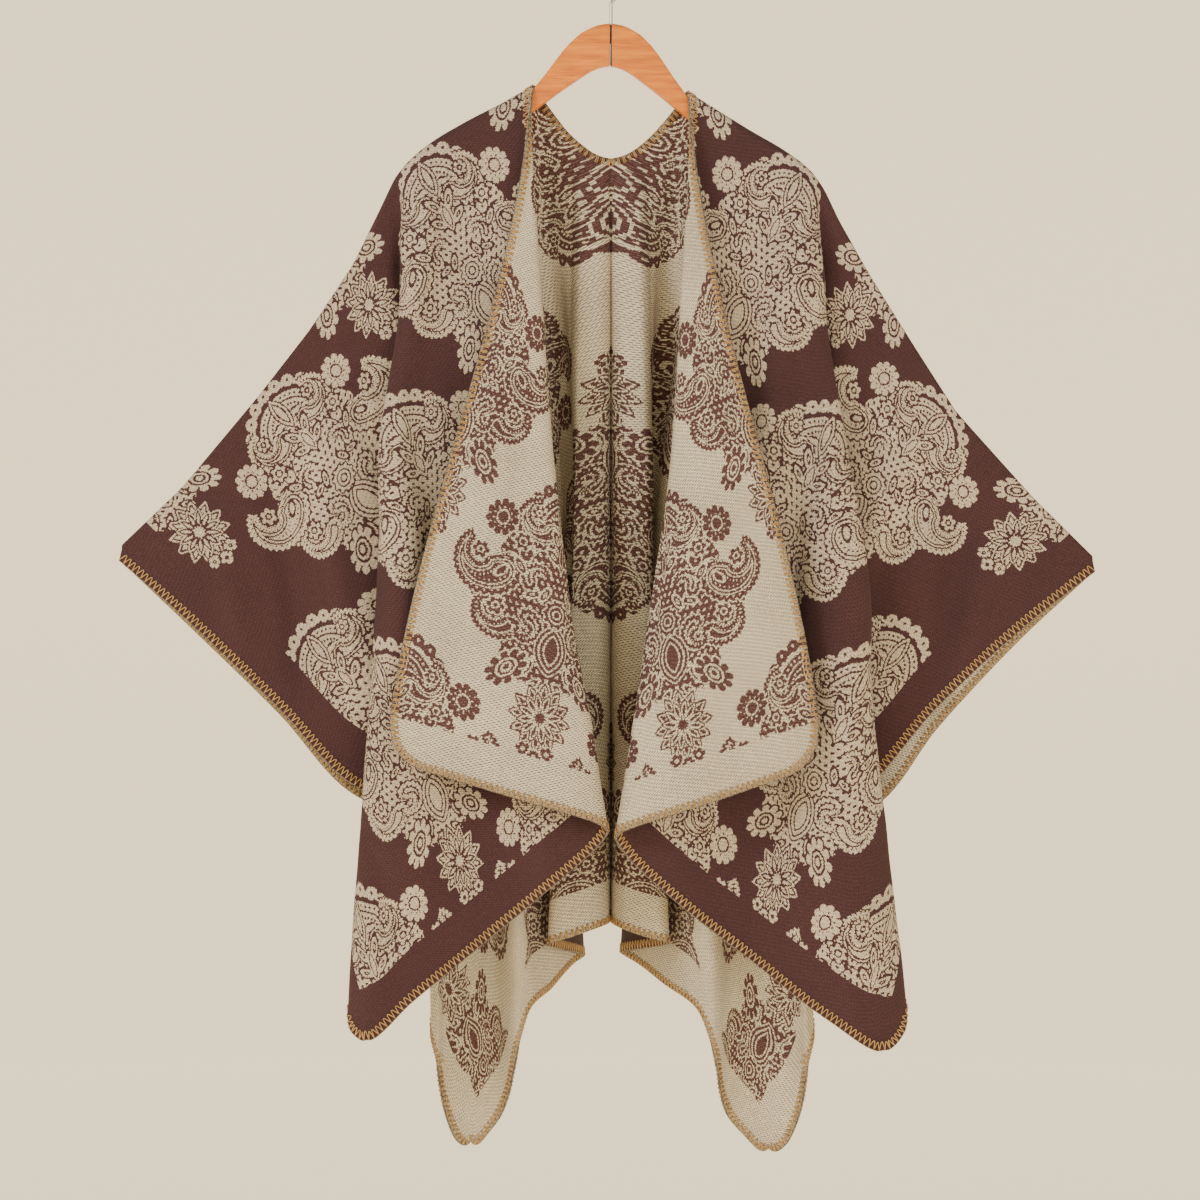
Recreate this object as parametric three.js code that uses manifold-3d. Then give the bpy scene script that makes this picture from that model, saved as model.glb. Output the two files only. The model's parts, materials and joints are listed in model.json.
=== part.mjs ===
// Ruana on a wooden hanger. Millimetres, +Z up, the front faces -Y.
// The origin is the inside top of the hanger's hook.
import * as THREE from 'three';
import Module from 'manifold-3d';
import { mergeVertices } from 'three/addons/utils/BufferGeometryUtils.js';

// Driving dimensions of the flat cut: one cloth, slit from the front hem to the neck
const CLOTH_HALF_WIDTH = 641;
const FRONT_LENGTH = 695;
const BACK_LENGTH = 865;
const CORNER_RADIUS = 40;
const CLOTH_THICKNESS = 2.4;
const SEAM_GAP = 0.3;

// Driving dimensions of the hanger
const ARM_THICKNESS = 12;
const ARM_EDGE_ROUNDING = 4;
const ARM_RIDGE_STEPS = 30;
const ARM_UNDERSIDE_STEPS = 26;
const HANGER_TILT = THREE.MathUtils.degToRad(1.6);
const HUMP_DROP = 61;
const WIRE_DIAMETER = 3.6;
const HOOK_INNER_RADIUS = 17;
const HOOK_START_DEGREES = -52;
const HOOK_END_DEGREES = 196;
const HOOK_STEP_DEGREES = 15.5;
const SHANK_DEPTH = 20;
const BORE_CLEARANCE = 0.3;

// The cloth rolls over the hanger's ridge on this radius, and over the wing's fold on a small one
const SADDLE_RADIUS = 8.4;
const WING_TIP_SADDLE = 4;
const SADDLE_TAPER_START = 150;
const SADDLE_TAPER_RATE = 1.6;
const NECK_ROLL = 4;
const CREST_SMOOTHING = 9;

// A line of the drape stands off straight within this share of its length below the top
const LIFT_REACH = 0.07;

// The slit behind the neck point is shorter on the flat cut than the neckline that it opens into
const NECK_CUT_SHARE = 0.89;

// Rows of points down the cloth: the first few over the roll, the others closer near the top
const CLOTH_ROWS = 15;
const ROLL_ROWS = 3;
const ROLL_TO_FALL = 1.5;
const FALL_CROWDING = 1.25;
const SHARP_ROLL = 0.5;
const SHARP_ROLL_STEP = 0.004;

/** Turns rows of numbers into objects with the named columns. */
function table(columns, rows) {
  const names = columns.split(' ');
  return rows.map((row) => Object.fromEntries(names.map((name, i) => [name, row[i]])));
}

// The top of the cloth from the slit's end behind the neck, over the hanger, to the wing's tip.
// along: distance from the neck point, negative down the neckline; out: from the middle plane
const CREST = table('along left_out left_up right_out right_up back', [
  [-107, 0, -192, 0, -192, 22],
  [-94, 13, -190, 13, -190, 21],
  [-77, 27, -181, 27, -182, 20],
  [-54, 44, -166, 43, -168, 17],
  [-21, 64, -140, 63, -145, 13.5],
  [-10, 70, -131, 69, -136, 12],
  [-4, 74.5, -125, 73.5, -131, 10],
  [0, 77, -122, 76, -128, 0],
  [38, 110, -141, 109, -149, 0],
  [72, 140, -156, 138, -167, 0],
  [107, 170, -173, 168, -184, 0],
  [131, 190, -187, 187, -197, 0],
  [147, 202, -198, 199, -207, 0],
  [168, 215, -214, 212, -225, 0],
  [203, 230, -246, 227, -257, 0],
  [264, 257, -301, 257, -310, 0],
  [342, 300, -366, 298, -376, 0],
  [427, 352, -433, 344, -448, 0],
  [546, 428, -524, 423, -536, 0],
  [641, 497, -590, 489, -601, 0],
]);

// One row for each line of the drape, from the top of the cloth to its edge.
// along: where it starts on the crest; cut_u, cut_v: where it ends on the flat cut;
// out, back, up: where that end hangs; swing: how far it bows outward at each third;
// lift: how far it stands off straight below the top; steps: columns up to the next row
const DRAPE_COLUMNS = 'name along cut_u cut_v left_out left_back left_up '
  + 'right_out right_back right_up swing_upper swing_lower lift steps';

const FRONT_DRAPE = table(DRAPE_COLUMNS, [
  ['slit_edge', 0, 0, 695, 220, -72, -793, 206, -70, -798, -8, 5, -15, 2],
  ['lapel_corner', 2, 40, 695, 182, -76, -803, 170, -74, -809, -5, 6, -14, 2],
  ['lapel_middle', 4, 118, 695, 105, -82, -826, 102, -80, -832, 3, 8, -11, 3],
  ['lapel_inner', 7, 222, 695, 12, -77, -855, 15, -75, -861, 8, 9, -8, 2],
  ['lapel_fold', 10, 236, 695, 3.5, -67, -862, 5, -65, -868, 8, 9, -4, 2],
  ['under_lapel', 14, 250, 695, 12, -56, -877, 15, -54, -887, 8, 9, -1, 2],
  ['inner_panel', 40, 330, 695, 58, -52, -918, 66, -50, -935, 4, 4, 0, 3],
  ['middle_trough', 78, 440, 695, 129, -38, -978, 144, -36, -997, 0, 0, -1, 3],
  ['outer_panel', 112, 545, 695, 194, -52, -1030, 214, -50, -1050, 0, 0, -8, 2],
  ['column_front', 134, 612, 695, 240, -53, -1070, 268, -53, -1080, 0, 0, -16, 2],
  ['column_edge', 144, 641, 672, 260, -38, -1054, 292, -38, -1052, 0, 0, -13, 2],
  ['column_back', 152, 641, 640, 243, -23, -1022, 274, -23, -1020, 0, 0, -8, 2],
  ['hidden_layer', 159, 641, 560, 185, -20, -958, 205, -20, -955, 0, 0, -3, 2],
  ['pleat_front', 166, 641, 487, 128, -18, -898, 138, -18, -898, 0, 0, 0, 1],
  ['pleat_fold', 171, 641, 472, 119, -12, -886, 129, -12, -886, 0, 0, 3, 1],
  ['pleat_back', 177, 641, 456, 128, -6, -878, 138, -6, -876, 0, 0, 5, 2],
  ['wing_inner', 189, 641, 400, 185, -7, -852, 204, -7, -850, 0, 0, 5, 2],
  ['wing_near', 208, 641, 330, 261, -8, -818, 252, -8, -826, 0, 0, 3, 3],
  ['wing_middle', 320, 641, 230, 330, -7, -746, 324, -7, -745, 0, 0, 1, 4],
  ['wing_far', 460, 641, 110, 416, -6, -663, 408, -6, -667, 0, 0, 0, 4],
  ['wing_tip', 628, 641, 15, 491, -4, -597, 483, -4, -608, 0, 0, 0, 0],
]);

const BACK_DRAPE = table(DRAPE_COLUMNS, [
  ['centre_crease', -107, 0, 865, 0, 86, -965, 0, 86, -965, 0, 0, 0, 2],
  ['crease_wall', -103, 34, 865, 4.5, 52, -966, 4.5, 52, -967, 0, 0, -6, 1],
  ['roll_front', -97, 52, 865, 14, 36, -968, 14, 36, -970, 0, 0, -9, 2],
  ['roll_outer', -88, 76, 865, 36, 28, -975, 34, 28, -976, 0, 0, -9, 2],
  ['first_fold_front', -77, 100, 865, 57, 28, -982, 52, 28, -981, 0, 0, -8, 1],
  ['first_fold', -71, 110, 865, 63, 35, -986, 58, 35, -984, 0, 0, -3, 1],
  ['first_fold_back', -65, 121, 865, 58, 46, -989, 53, 46, -987, 0, 0, 2, 3],
  ['deep_fold_inner', -24, 236, 865, 29, 121, -1006, 11, 121, -1003, 0, 0, 2, 1],
  ['deep_fold', -14, 249, 865, 30, 133, -1010, 14, 133, -1007, 0, 0, 2, 1],
  ['deep_fold_outer', -4, 264, 865, 39, 124, -1015, 25, 124, -1012, 0, 0, 2, 2],
  ['back_slope', 20, 345, 865, 62, 70, -1034, 56, 70, -1030, 0, 0, 1, 2],
  ['ridge_inner', 44, 405, 865, 84, 21, -1050, 89, 23, -1050, 0, 0, 0, 1],
  ['ridge', 56, 425, 865, 91, 9, -1075, 99, 10, -1075, 0, 0, 0, 1],
  ['ridge_outer', 66, 452, 865, 97, 14, -1106, 106, 15, -1108, 0, 0, 0, 3],
  ['trough', 82, 545, 865, 110, 40, -1156, 118, 40, -1158, 0, 0, 0, 3],
  ['corner_hem', 93, 605, 865, 127, 46, -1181, 139, 46, -1184, 0, 0, 0, 2],
  ['back_corner', 100, 641, 865, 142, 46, -1203, 160, 46, -1210, 0, 0, 0, 2],
  ['corner_side', 105, 641, 829, 157, 38, -1183, 178, 38, -1187, 0, 0, 0, 2],
  ['side_low', 110, 641, 797, 168, 27, -1150, 191, 27, -1152, 0, 0, 0, 2],
  ['side_fold', 118, 641, 757, 175, 14, -1100, 198, 14, -1102, 0, 0, -1, 2],
  ['side_fold_back', 127, 641, 722, 180, 30, -1066, 203, 30, -1067, 0, 0, 3, 2],
  ['hidden_layer', 140, 641, 640, 140, 60, -998, 160, 60, -998, 0, 0, 6, 2],
  ['pleat_front', 156, 641, 548, 79, 74, -915, 86, 74, -915, 0, 0, 8, 1],
  ['pleat_fold', 163, 641, 533, 69, 82, -905, 76, 82, -905, 0, 0, 11, 1],
  ['pleat_back', 170, 641, 517, 79, 90, -893, 86, 90, -893, 0, 0, 14, 2],
  ['wing_inner', 186, 641, 430, 166, 72, -868, 178, 72, -866, 0, 0, 12, 3],
  ['wing_near', 208, 641, 330, 262, 22, -830, 267, 22, -843, 0, 0, 8, 3],
  ['wing_middle', 320, 641, 230, 331, 14, -753, 328, 15, -765, 0, 0, 3, 4],
  ['wing_far', 460, 641, 110, 417, 8, -668, 410, 9, -676, 0, 0, 0, 4],
  ['wing_tip', 628, 641, 15, 491, 4, -597, 483, 4, -608, 0, 0, 0, 0],
]);

const SIDES = { left: -1, right: 1 };

/** Linear value of one column of the crest at a distance along it. */
function crestValue(column, along) {
  const after = CREST.findIndex((row) => row.along >= along);
  if (after <= 0) {
    return CREST[0][column];
  }
  const low = CREST[after - 1];
  const high = CREST[after];
  const share = (along - low.along) / (high.along - low.along);
  return low[column] + (high[column] - low[column]) * share;
}

/** The crest's value smoothed over a short stretch, so that its bends are round but for the neck. */
function smoothCrest(column, along) {
  const ends = [CREST[0].along, 0, CREST[CREST.length - 1].along];
  const reach = Math.min(CREST_SMOOTHING, ...ends.map((stop) => Math.abs(along - stop)));
  const spread = [-1, -0.5, 0, 0.5, 1].map((k) => crestValue(column, along + k * reach));
  return (spread[0] + 2 * spread[1] + 2 * spread[2] + 2 * spread[3] + spread[4]) / 8;
}

/** Radius on which the cloth rolls over its crest. */
function saddleRadius(along) {
  if (along < 0) {
    return SADDLE_RADIUS * Math.max(0, 1 + along / NECK_ROLL);
  }
  const past = Math.max(0, along - SADDLE_TAPER_START) / (CLOTH_HALF_WIDTH - SADDLE_TAPER_START);
  const tapered = Math.min(1, past * SADDLE_TAPER_RATE);
  return SADDLE_RADIUS + (WING_TIP_SADDLE - SADDLE_RADIUS) * tapered;
}

/** Smooth curve through the values at uneven knots, at share t between knots i and i + 1. */
function smoothValue(knots, values, i, t) {
  const last = values.length - 1;
  const step = knots[i + 1] - knots[i];
  const slope = (j) => {
    if (j === 0) {
      return (values[1] - values[0]) / (knots[1] - knots[0]);
    }
    if (j === last) {
      return (values[last] - values[last - 1]) / (knots[last] - knots[last - 1]);
    }
    const before = knots[j] - knots[j - 1];
    const after = knots[j + 1] - knots[j];
    const down = (values[j] - values[j - 1]) / before;
    const up = (values[j + 1] - values[j]) / after;
    return (down * after + up * before) / (before + after);
  };
  const t2 = t * t;
  const t3 = t2 * t;
  return (2 * t3 - 3 * t2 + 1) * values[i] + (t3 - 2 * t2 + t) * step * slope(i)
    + (3 * t2 - 2 * t3) * values[i + 1] + (t3 - t2) * step * slope(i + 1);
}

/** Share of a line of the flat cut that stays inside the rounded corners. */
function cutShare(topU, topV, endU, endV, length) {
  const inside = (share) => {
    const u = topU + (endU - topU) * share;
    const v = topV + (endV - topV) * share;
    const past = v - (length - CORNER_RADIUS);
    if (past <= 0) {
      return true;
    }
    const outer = u - (CLOTH_HALF_WIDTH - CORNER_RADIUS);
    const slit = length === FRONT_LENGTH ? CORNER_RADIUS - u : 0;
    const aside = Math.max(outer, slit, 0);
    return Math.hypot(aside, past) <= CORNER_RADIUS + 1e-6;
  };
  if (inside(1)) {
    return 1;
  }
  let low = 0.5;
  let high = 1;
  for (let halving = 0; halving < 24; halving += 1) {
    const middle = (low + high) / 2;
    if (inside(middle)) {
      low = middle;
    } else {
      high = middle;
    }
  }
  return low;
}

/** Every column of one stretch: the drape's lines with smooth ones between them. */
function drapeColumns(drape, side, length) {
  const end = (row) => new THREE.Vector3(row[`${side}_out`], row[`${side}_back`], row[`${side}_up`]);
  const knots = [0];
  for (let i = 1; i < drape.length; i += 1) {
    knots.push(knots[i - 1] + Math.sqrt(end(drape[i]).distanceTo(end(drape[i - 1]))));
  }
  const columns = [];
  for (let i = 0; i < drape.length - 1; i += 1) {
    const count = drape[i].steps;
    const stops = i === drape.length - 2 ? count + 1 : count;
    for (let step = 0; step < stops; step += 1) {
      const t = step / count;
      const value = (name) => smoothValue(knots, drape.map((row) => row[name]), i, t);
      const straight = (name) => drape[i][name] + (drape[i + 1][name] - drape[i][name]) * t;
      const along = straight('along');
      const topU = Math.max(0, along);
      const topV = Math.max(0, -along) * NECK_CUT_SHARE;
      columns.push({
        along,
        share: cutShare(topU, topV, straight('cut_u'), straight('cut_v'), length),
        cutLength: Math.hypot(straight('cut_u') - topU, straight('cut_v') - topV),
        end: new THREE.Vector3(value(`${side}_out`), value(`${side}_back`), value(`${side}_up`)),
        swingUpper: value('swing_upper'),
        swingLower: value('swing_lower'),
        lift: value('lift'),
      });
    }
  }
  return columns;
}

/** Cubic that is 0 at both ends and at one third of the way, and 1 or -1 at the other third. */
function thirdPeak(t, zero) {
  return 13.5 * t * (1 - t) * (zero - t);
}

/** Point of the middle of the cloth at a distance down one column. facing: -1 front, 1 back. */
function drapePoint(column, side, facing, distance) {
  const radius = saddleRadius(column.along);
  const crest = new THREE.Vector3(
    smoothCrest(`${side}_out`, column.along),
    column.along < 0 ? crestValue('back', column.along) : 0,
    smoothCrest(`${side}_up`, column.along) - CLOTH_THICKNESS / 2,
  );
  const heading = new THREE.Vector3(column.end.x - crest.x, 0, column.end.z - crest.z).normalize();
  const arc = radius * Math.PI / 2;
  if (distance < arc) {
    const angle = distance / radius;
    crest.addScaledVector(heading, radius * (1 - Math.cos(angle)));
    crest.y += facing * radius * Math.sin(angle);
    return crest;
  }
  const t = (distance - arc) / (column.cutLength - arc);
  const start = crest.clone().addScaledVector(heading, radius);
  start.y += facing * radius;
  const point = start.lerp(column.end, t);
  const upper = thirdPeak(t, 2 / 3);
  const lower = -thirdPeak(t, 1 / 3);
  point.x += column.swingUpper * upper + column.swingLower * lower;
  point.y += column.lift * (1 - Math.exp(-t / LIFT_REACH)) * (1 - t * t * t);
  return point;
}

/** Distance of one row of points down a column. */
function rowDistance(column, row) {
  const arc = saddleRadius(column.along) * Math.PI / 2;
  const whole = column.cutLength * column.share;
  if (row > ROLL_ROWS) {
    const share = (row - ROLL_ROWS) / (CLOTH_ROWS - 1 - ROLL_ROWS);
    const start = arc + ROLL_TO_FALL;
    return start + (whole - start) * Math.pow(share, FALL_CROWDING);
  }
  return arc > SHARP_ROLL ? arc * row / ROLL_ROWS : whole * SHARP_ROLL_STEP * row;
}

/** Grid of points, one list for each column, from the crest to the edge. */
function drapeGrid(columns, side, facing) {
  const sign = SIDES[side];
  return columns.map((column) => {
    const list = [];
    for (let row = 0; row < CLOTH_ROWS; row += 1) {
      const point = drapePoint(column, side, facing, rowDistance(column, row));
      if (row === 0 && column.along >= 0) {
        point.y += facing * SEAM_GAP / 2;
      }
      list.push(new THREE.Vector3(sign * point.x, point.y, point.z));
    }
    list.onRidge = column.along >= 0;
    return list;
  });
}

/** Closed wall of the cloth's thickness on both sides of a grid of points. */
function clothWall(grid) {
  const columns = grid.length;
  const rows = grid[0].length;
  const normal = (i, j) => {
    const across = grid[Math.min(i + 1, columns - 1)][j].clone().sub(grid[Math.max(i - 1, 0)][j]);
    const down = grid[i][Math.min(j + 1, rows - 1)].clone().sub(grid[i][Math.max(j - 1, 0)]);
    const out = across.cross(down);
    if (j === 0 && grid[i].onRidge) {
      out.y = 0;
    }
    return out.normalize();
  };
  const vertices = [];
  for (const layer of [1, -1]) {
    for (let i = 0; i < columns; i += 1) {
      for (let j = 0; j < rows; j += 1) {
        const point = grid[i][j].clone().addScaledVector(normal(i, j), layer * CLOTH_THICKNESS / 2);
        vertices.push(point.x, point.y, point.z);
      }
    }
  }
  const outer = (i, j) => i * rows + j;
  const inner = (i, j) => columns * rows + i * rows + j;
  const faces = [];
  const quad = (a, b, c, d) => faces.push(a, b, c, a, c, d);
  for (let i = 0; i < columns - 1; i += 1) {
    for (let j = 0; j < rows - 1; j += 1) {
      quad(outer(i, j), outer(i + 1, j), outer(i + 1, j + 1), outer(i, j + 1));
      quad(inner(i, j), inner(i, j + 1), inner(i + 1, j + 1), inner(i + 1, j));
    }
    quad(outer(i, 0), inner(i, 0), inner(i + 1, 0), outer(i + 1, 0));
    quad(outer(i, rows - 1), outer(i + 1, rows - 1), inner(i + 1, rows - 1), inner(i, rows - 1));
  }
  for (let j = 0; j < rows - 1; j += 1) {
    quad(outer(0, j), outer(0, j + 1), inner(0, j + 1), inner(0, j));
    const last = columns - 1;
    quad(outer(last, j), inner(last, j), inner(last, j + 1), outer(last, j + 1));
  }
  const geometry = new THREE.BufferGeometry();
  geometry.setAttribute('position', new THREE.Float32BufferAttribute(vertices, 3));
  geometry.setIndex(faces);
  return facingOut(geometry);
}

/** Flips a closed geometry whose faces point in. */
function facingOut(geometry) {
  const position = geometry.getAttribute('position');
  const index = geometry.index;
  const corner = (k) => new THREE.Vector3().fromBufferAttribute(position, index.getX(k));
  let volume = 0;
  for (let k = 0; k < index.count; k += 3) {
    volume += corner(k).dot(corner(k + 1).cross(corner(k + 2)));
  }
  if (volume < 0) {
    for (let k = 0; k < index.count; k += 3) {
      const second = index.getX(k + 1);
      index.setX(k + 1, index.getX(k + 2));
      index.setX(k + 2, second);
    }
  }
  geometry.computeVertexNormals();
  return geometry;
}

function frontStretch(side) {
  return clothWall(drapeGrid(drapeColumns(FRONT_DRAPE, side, FRONT_LENGTH), side, -1));
}

/** Both halves of the back, which share the column at the middle. */
function backStretch() {
  const left = drapeGrid(drapeColumns(BACK_DRAPE, 'left', BACK_LENGTH), 'left', 1);
  const right = drapeGrid(drapeColumns(BACK_DRAPE, 'right', BACK_LENGTH), 'right', 1);
  return clothWall([...left.reverse(), ...right.slice(1)]);
}

const wasm = await Module();
wasm.setup();

/** Solid of a closed geometry, for joining and cutting. */
function toSolid(geometry) {
  const bare = geometry.clone();
  bare.deleteAttribute('normal');
  bare.deleteAttribute('uv');
  const merged = mergeVertices(bare, 1e-4);
  return new wasm.Manifold(new wasm.Mesh({
    numProp: 3,
    vertProperties: new Float32Array(merged.getAttribute('position').array),
    triVerts: new Uint32Array(merged.index.array),
  }));
}

function toGeometry(solid) {
  const mesh = solid.getMesh();
  const geometry = new THREE.BufferGeometry();
  geometry.setAttribute('position', new THREE.Float32BufferAttribute(mesh.vertProperties, 3));
  geometry.setIndex(Array.from(mesh.triVerts));
  geometry.computeVertexNormals();
  return geometry;
}

// Half of the hanger's outline, from the seam outward: the ridge, then the underside
const ARM_RIDGE = table('out up', [
  [0, -61], [14, -63.5], [29, -71], [42, -83.5], [52, -96.5], [62, -111], [70, -121.5],
  [76, -129.5], [83, -136.5], [110, -152.5], [140, -169], [168, -186], [184, -198], [195, -209],
]);
const ARM_UNDERSIDE = table('out up', [
  [199, -222], [189, -227], [168, -209.5], [140, -192], [105, -173.5], [74, -150], [45, -127.5],
  [20, -109.5], [9, -104.5], [0, -103],
]);

/** One wooden arm: its outline with rounded edges, tilted, with half of the hook's bore. */
function hangerArm(sign) {
  const round = ARM_EDGE_ROUNDING;
  const curve = (rows) => new THREE.CatmullRomCurve3(
    rows.map((row) => new THREE.Vector3(row.out, row.up, 0)), false, 'centripetal');
  const ridge = curve(ARM_RIDGE).getPoints(ARM_RIDGE_STEPS);
  const underside = curve(ARM_UNDERSIDE).getPoints(ARM_UNDERSIDE_STEPS);
  const outline = [...ridge, ...underside];
  const shape = new THREE.Shape(outline.map((point) => new THREE.Vector2(point.x, point.y)));
  const bar = new THREE.ExtrudeGeometry(shape, {
    depth: ARM_THICKNESS - 2 * round,
    bevelEnabled: true,
    bevelThickness: round,
    bevelSize: round,
    bevelOffset: -round,
    bevelSegments: 3,
    curveSegments: 12,
  });
  bar.translate(0, 0, round - ARM_THICKNESS / 2);
  bar.rotateX(Math.PI / 2);
  bar.translate(SEAM_GAP / 2, 0, 0);
  if (sign < 0) {
    bar.rotateZ(Math.PI);
  }
  const boreRadius = WIRE_DIAMETER / 2 + BORE_CLEARANCE;
  const boreLength = 2 * (SHANK_DEPTH + 1);
  const bore = new THREE.CylinderGeometry(boreRadius, boreRadius, boreLength, 20);
  bore.rotateX(Math.PI / 2);
  bore.translate(0, 0, -HUMP_DROP);
  bar.translate(0, 0, HUMP_DROP);
  bar.rotateY(HANGER_TILT);
  bar.translate(0, 0, -HUMP_DROP);
  return toGeometry(toSolid(bar).subtract(toSolid(bore)));
}

/** Steel wire: a shank out of the wood, a bend, and a round hook with a rounded end. */
function hangerHook() {
  const radius = HOOK_INNER_RADIUS + WIRE_DIAMETER / 2;
  const centre = -HOOK_INNER_RADIUS;
  const points = [];
  for (const down of [HUMP_DROP + SHANK_DEPTH, HUMP_DROP + 8, HUMP_DROP - 4, HUMP_DROP - 12]) {
    points.push(new THREE.Vector3(0, 0, -down));
  }
  for (let degrees = HOOK_START_DEGREES; degrees <= HOOK_END_DEGREES; degrees += HOOK_STEP_DEGREES) {
    const angle = THREE.MathUtils.degToRad(degrees);
    points.push(new THREE.Vector3(radius * Math.cos(angle), 0, centre + radius * Math.sin(angle)));
  }
  const wire = new THREE.CatmullRomCurve3(points, false, 'centripetal');
  const section = new THREE.Shape();
  section.absarc(0, 0, WIRE_DIAMETER / 2, 0, Math.PI * 2);
  return new THREE.ExtrudeGeometry(section, {
    steps: 56,
    curveSegments: 6,
    bevelEnabled: false,
    extrudePath: wire,
  });
}

const clothMaterial = new THREE.MeshStandardMaterial({ color: 0x5a3a38, roughness: 0.95, metalness: 0 });
const woodMaterial = new THREE.MeshStandardMaterial({ color: 0xd98a4a, roughness: 0.4, metalness: 0 });
const steelMaterial = new THREE.MeshStandardMaterial({ color: 0xb9bcc0, roughness: 0.25, metalness: 1 });

function part(name, geometry, material) {
  const mesh = new THREE.Mesh(geometry, material.clone());
  mesh.name = name;
  return mesh;
}

const group = new THREE.Group();
group.name = 'ruana_on_hanger';
group.add(part('front_left', frontStretch('left'), clothMaterial));
group.add(part('front_right', frontStretch('right'), clothMaterial));
group.add(part('back', backStretch(), clothMaterial));
group.add(part('hanger_arm_left', hangerArm(-1), woodMaterial));
group.add(part('hanger_arm_right', hangerArm(1), woodMaterial));
group.add(part('hanger_hook', hangerHook(), steelMaterial));

export default group;
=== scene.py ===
"""Ruana draped over a wooden hanger: the cloth, its stitched edge, the hanger and a plain studio.

The tables are in millimetres and the meshes in metres. +X is the viewer's right across the front,
+Y runs from the front of the garment to its back, and +Z is up. The origin is the inside top of
the hanger's hook.
"""
import json
import logging
import math
from collections.abc import Sequence
from dataclasses import dataclass, field
from enum import Enum
from typing import Any, NamedTuple, TypeAlias

import bpy
import numpy as np
from mathutils import Matrix, Vector
from mathutils.bvhtree import BVHTree

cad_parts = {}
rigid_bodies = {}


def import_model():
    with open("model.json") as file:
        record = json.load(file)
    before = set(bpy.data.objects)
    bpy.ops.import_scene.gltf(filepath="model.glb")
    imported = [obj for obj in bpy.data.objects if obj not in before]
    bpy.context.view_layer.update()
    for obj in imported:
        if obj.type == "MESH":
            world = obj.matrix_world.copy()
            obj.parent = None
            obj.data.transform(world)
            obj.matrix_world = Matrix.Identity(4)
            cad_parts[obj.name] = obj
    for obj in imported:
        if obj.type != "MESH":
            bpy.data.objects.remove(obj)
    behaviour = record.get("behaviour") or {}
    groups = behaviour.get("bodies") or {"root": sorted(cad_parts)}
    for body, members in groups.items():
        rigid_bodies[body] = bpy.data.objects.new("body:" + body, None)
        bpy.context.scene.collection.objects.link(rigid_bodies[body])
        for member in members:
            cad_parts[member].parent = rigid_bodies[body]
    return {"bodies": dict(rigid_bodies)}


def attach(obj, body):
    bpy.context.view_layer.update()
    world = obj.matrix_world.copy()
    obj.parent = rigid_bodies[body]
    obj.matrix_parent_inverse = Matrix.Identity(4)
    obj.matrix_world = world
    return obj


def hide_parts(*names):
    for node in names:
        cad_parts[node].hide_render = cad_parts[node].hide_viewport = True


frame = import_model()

LOG = logging.getLogger("ruana")
MM = 0.001
BODY = next(iter(frame["bodies"]))
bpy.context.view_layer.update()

CLOTH_HALF_WIDTH = 641.0
FRONT_LENGTH = 695.0
BACK_LENGTH = 865.0
CORNER_RADIUS = 40.0
CLOTH_THICKNESS = 2.4
SEAM_GAP = 0.3
SADDLE_RADIUS = 8.4
WING_TIP_SADDLE = 4.0
SADDLE_TAPER_START = 150.0
SADDLE_TAPER_RATE = 1.6
NECK_ROLL = 4.0
NECK_CUT_SHARE = 0.89
CREST_SMOOTHING = 9.0
SMOOTHING_TAPS = ((-1, 1), (-0.5, 2), (0, 2), (0.5, 2), (1, 1))
LEAST_ROLL_SHARE = 0.012
LIFT_REACH = 0.07
SWING_SCALE = 13.5
BROAD_WAVE = 0.55
FINE_WAVE = 0.3
HALVINGS = 24
WING_COLUMNS = 12

Array = np.ndarray


class Side(Enum):
    """Which half of the garment, by the sign of its X."""

    LEFT = -1
    RIGHT = 1


class Facing(Enum):
    """Which way a stretch of cloth faces, by the sign of its Y."""

    FRONT = -1
    BACK = 1


class CrestPoint(NamedTuple):
    """A point of the cloth's top: behind the neck, over the hanger, and out to the wing's tip."""

    along: float
    left_out: float
    left_up: float
    right_out: float
    right_up: float
    back: float


class DrapeLine(NamedTuple):
    """A line of the drape, from the top of the cloth to a point of its edge."""

    name: str
    along: float
    cut_u: float
    cut_v: float
    left_out: float
    left_back: float
    left_up: float
    right_out: float
    right_back: float
    right_up: float
    swing_upper: float
    swing_lower: float
    lift: float
    steps: int


CREST = [
    CrestPoint(*row)
    for row in (
        (-107, 0, -192, 0, -192, 22),
        (-94, 13, -190, 13, -190, 21),
        (-77, 27, -181, 27, -182, 20),
        (-54, 44, -166, 43, -168, 17),
        (-21, 64, -140, 63, -145, 13.5),
        (-10, 70, -131, 69, -136, 12),
        (-4, 74.5, -125, 73.5, -131, 10),
        (0, 77, -122, 76, -128, 0),
        (38, 110, -141, 109, -149, 0),
        (72, 140, -156, 138, -167, 0),
        (107, 170, -173, 168, -184, 0),
        (131, 190, -187, 187, -197, 0),
        (147, 202, -198, 199, -207, 0),
        (168, 215, -214, 212, -225, 0),
        (203, 230, -246, 227, -257, 0),
        (264, 257, -301, 257, -310, 0),
        (342, 300, -366, 298, -376, 0),
        (427, 352, -433, 344, -448, 0),
        (546, 428, -524, 423, -536, 0),
        (641, 497, -590, 489, -601, 0),
    )
]

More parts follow.
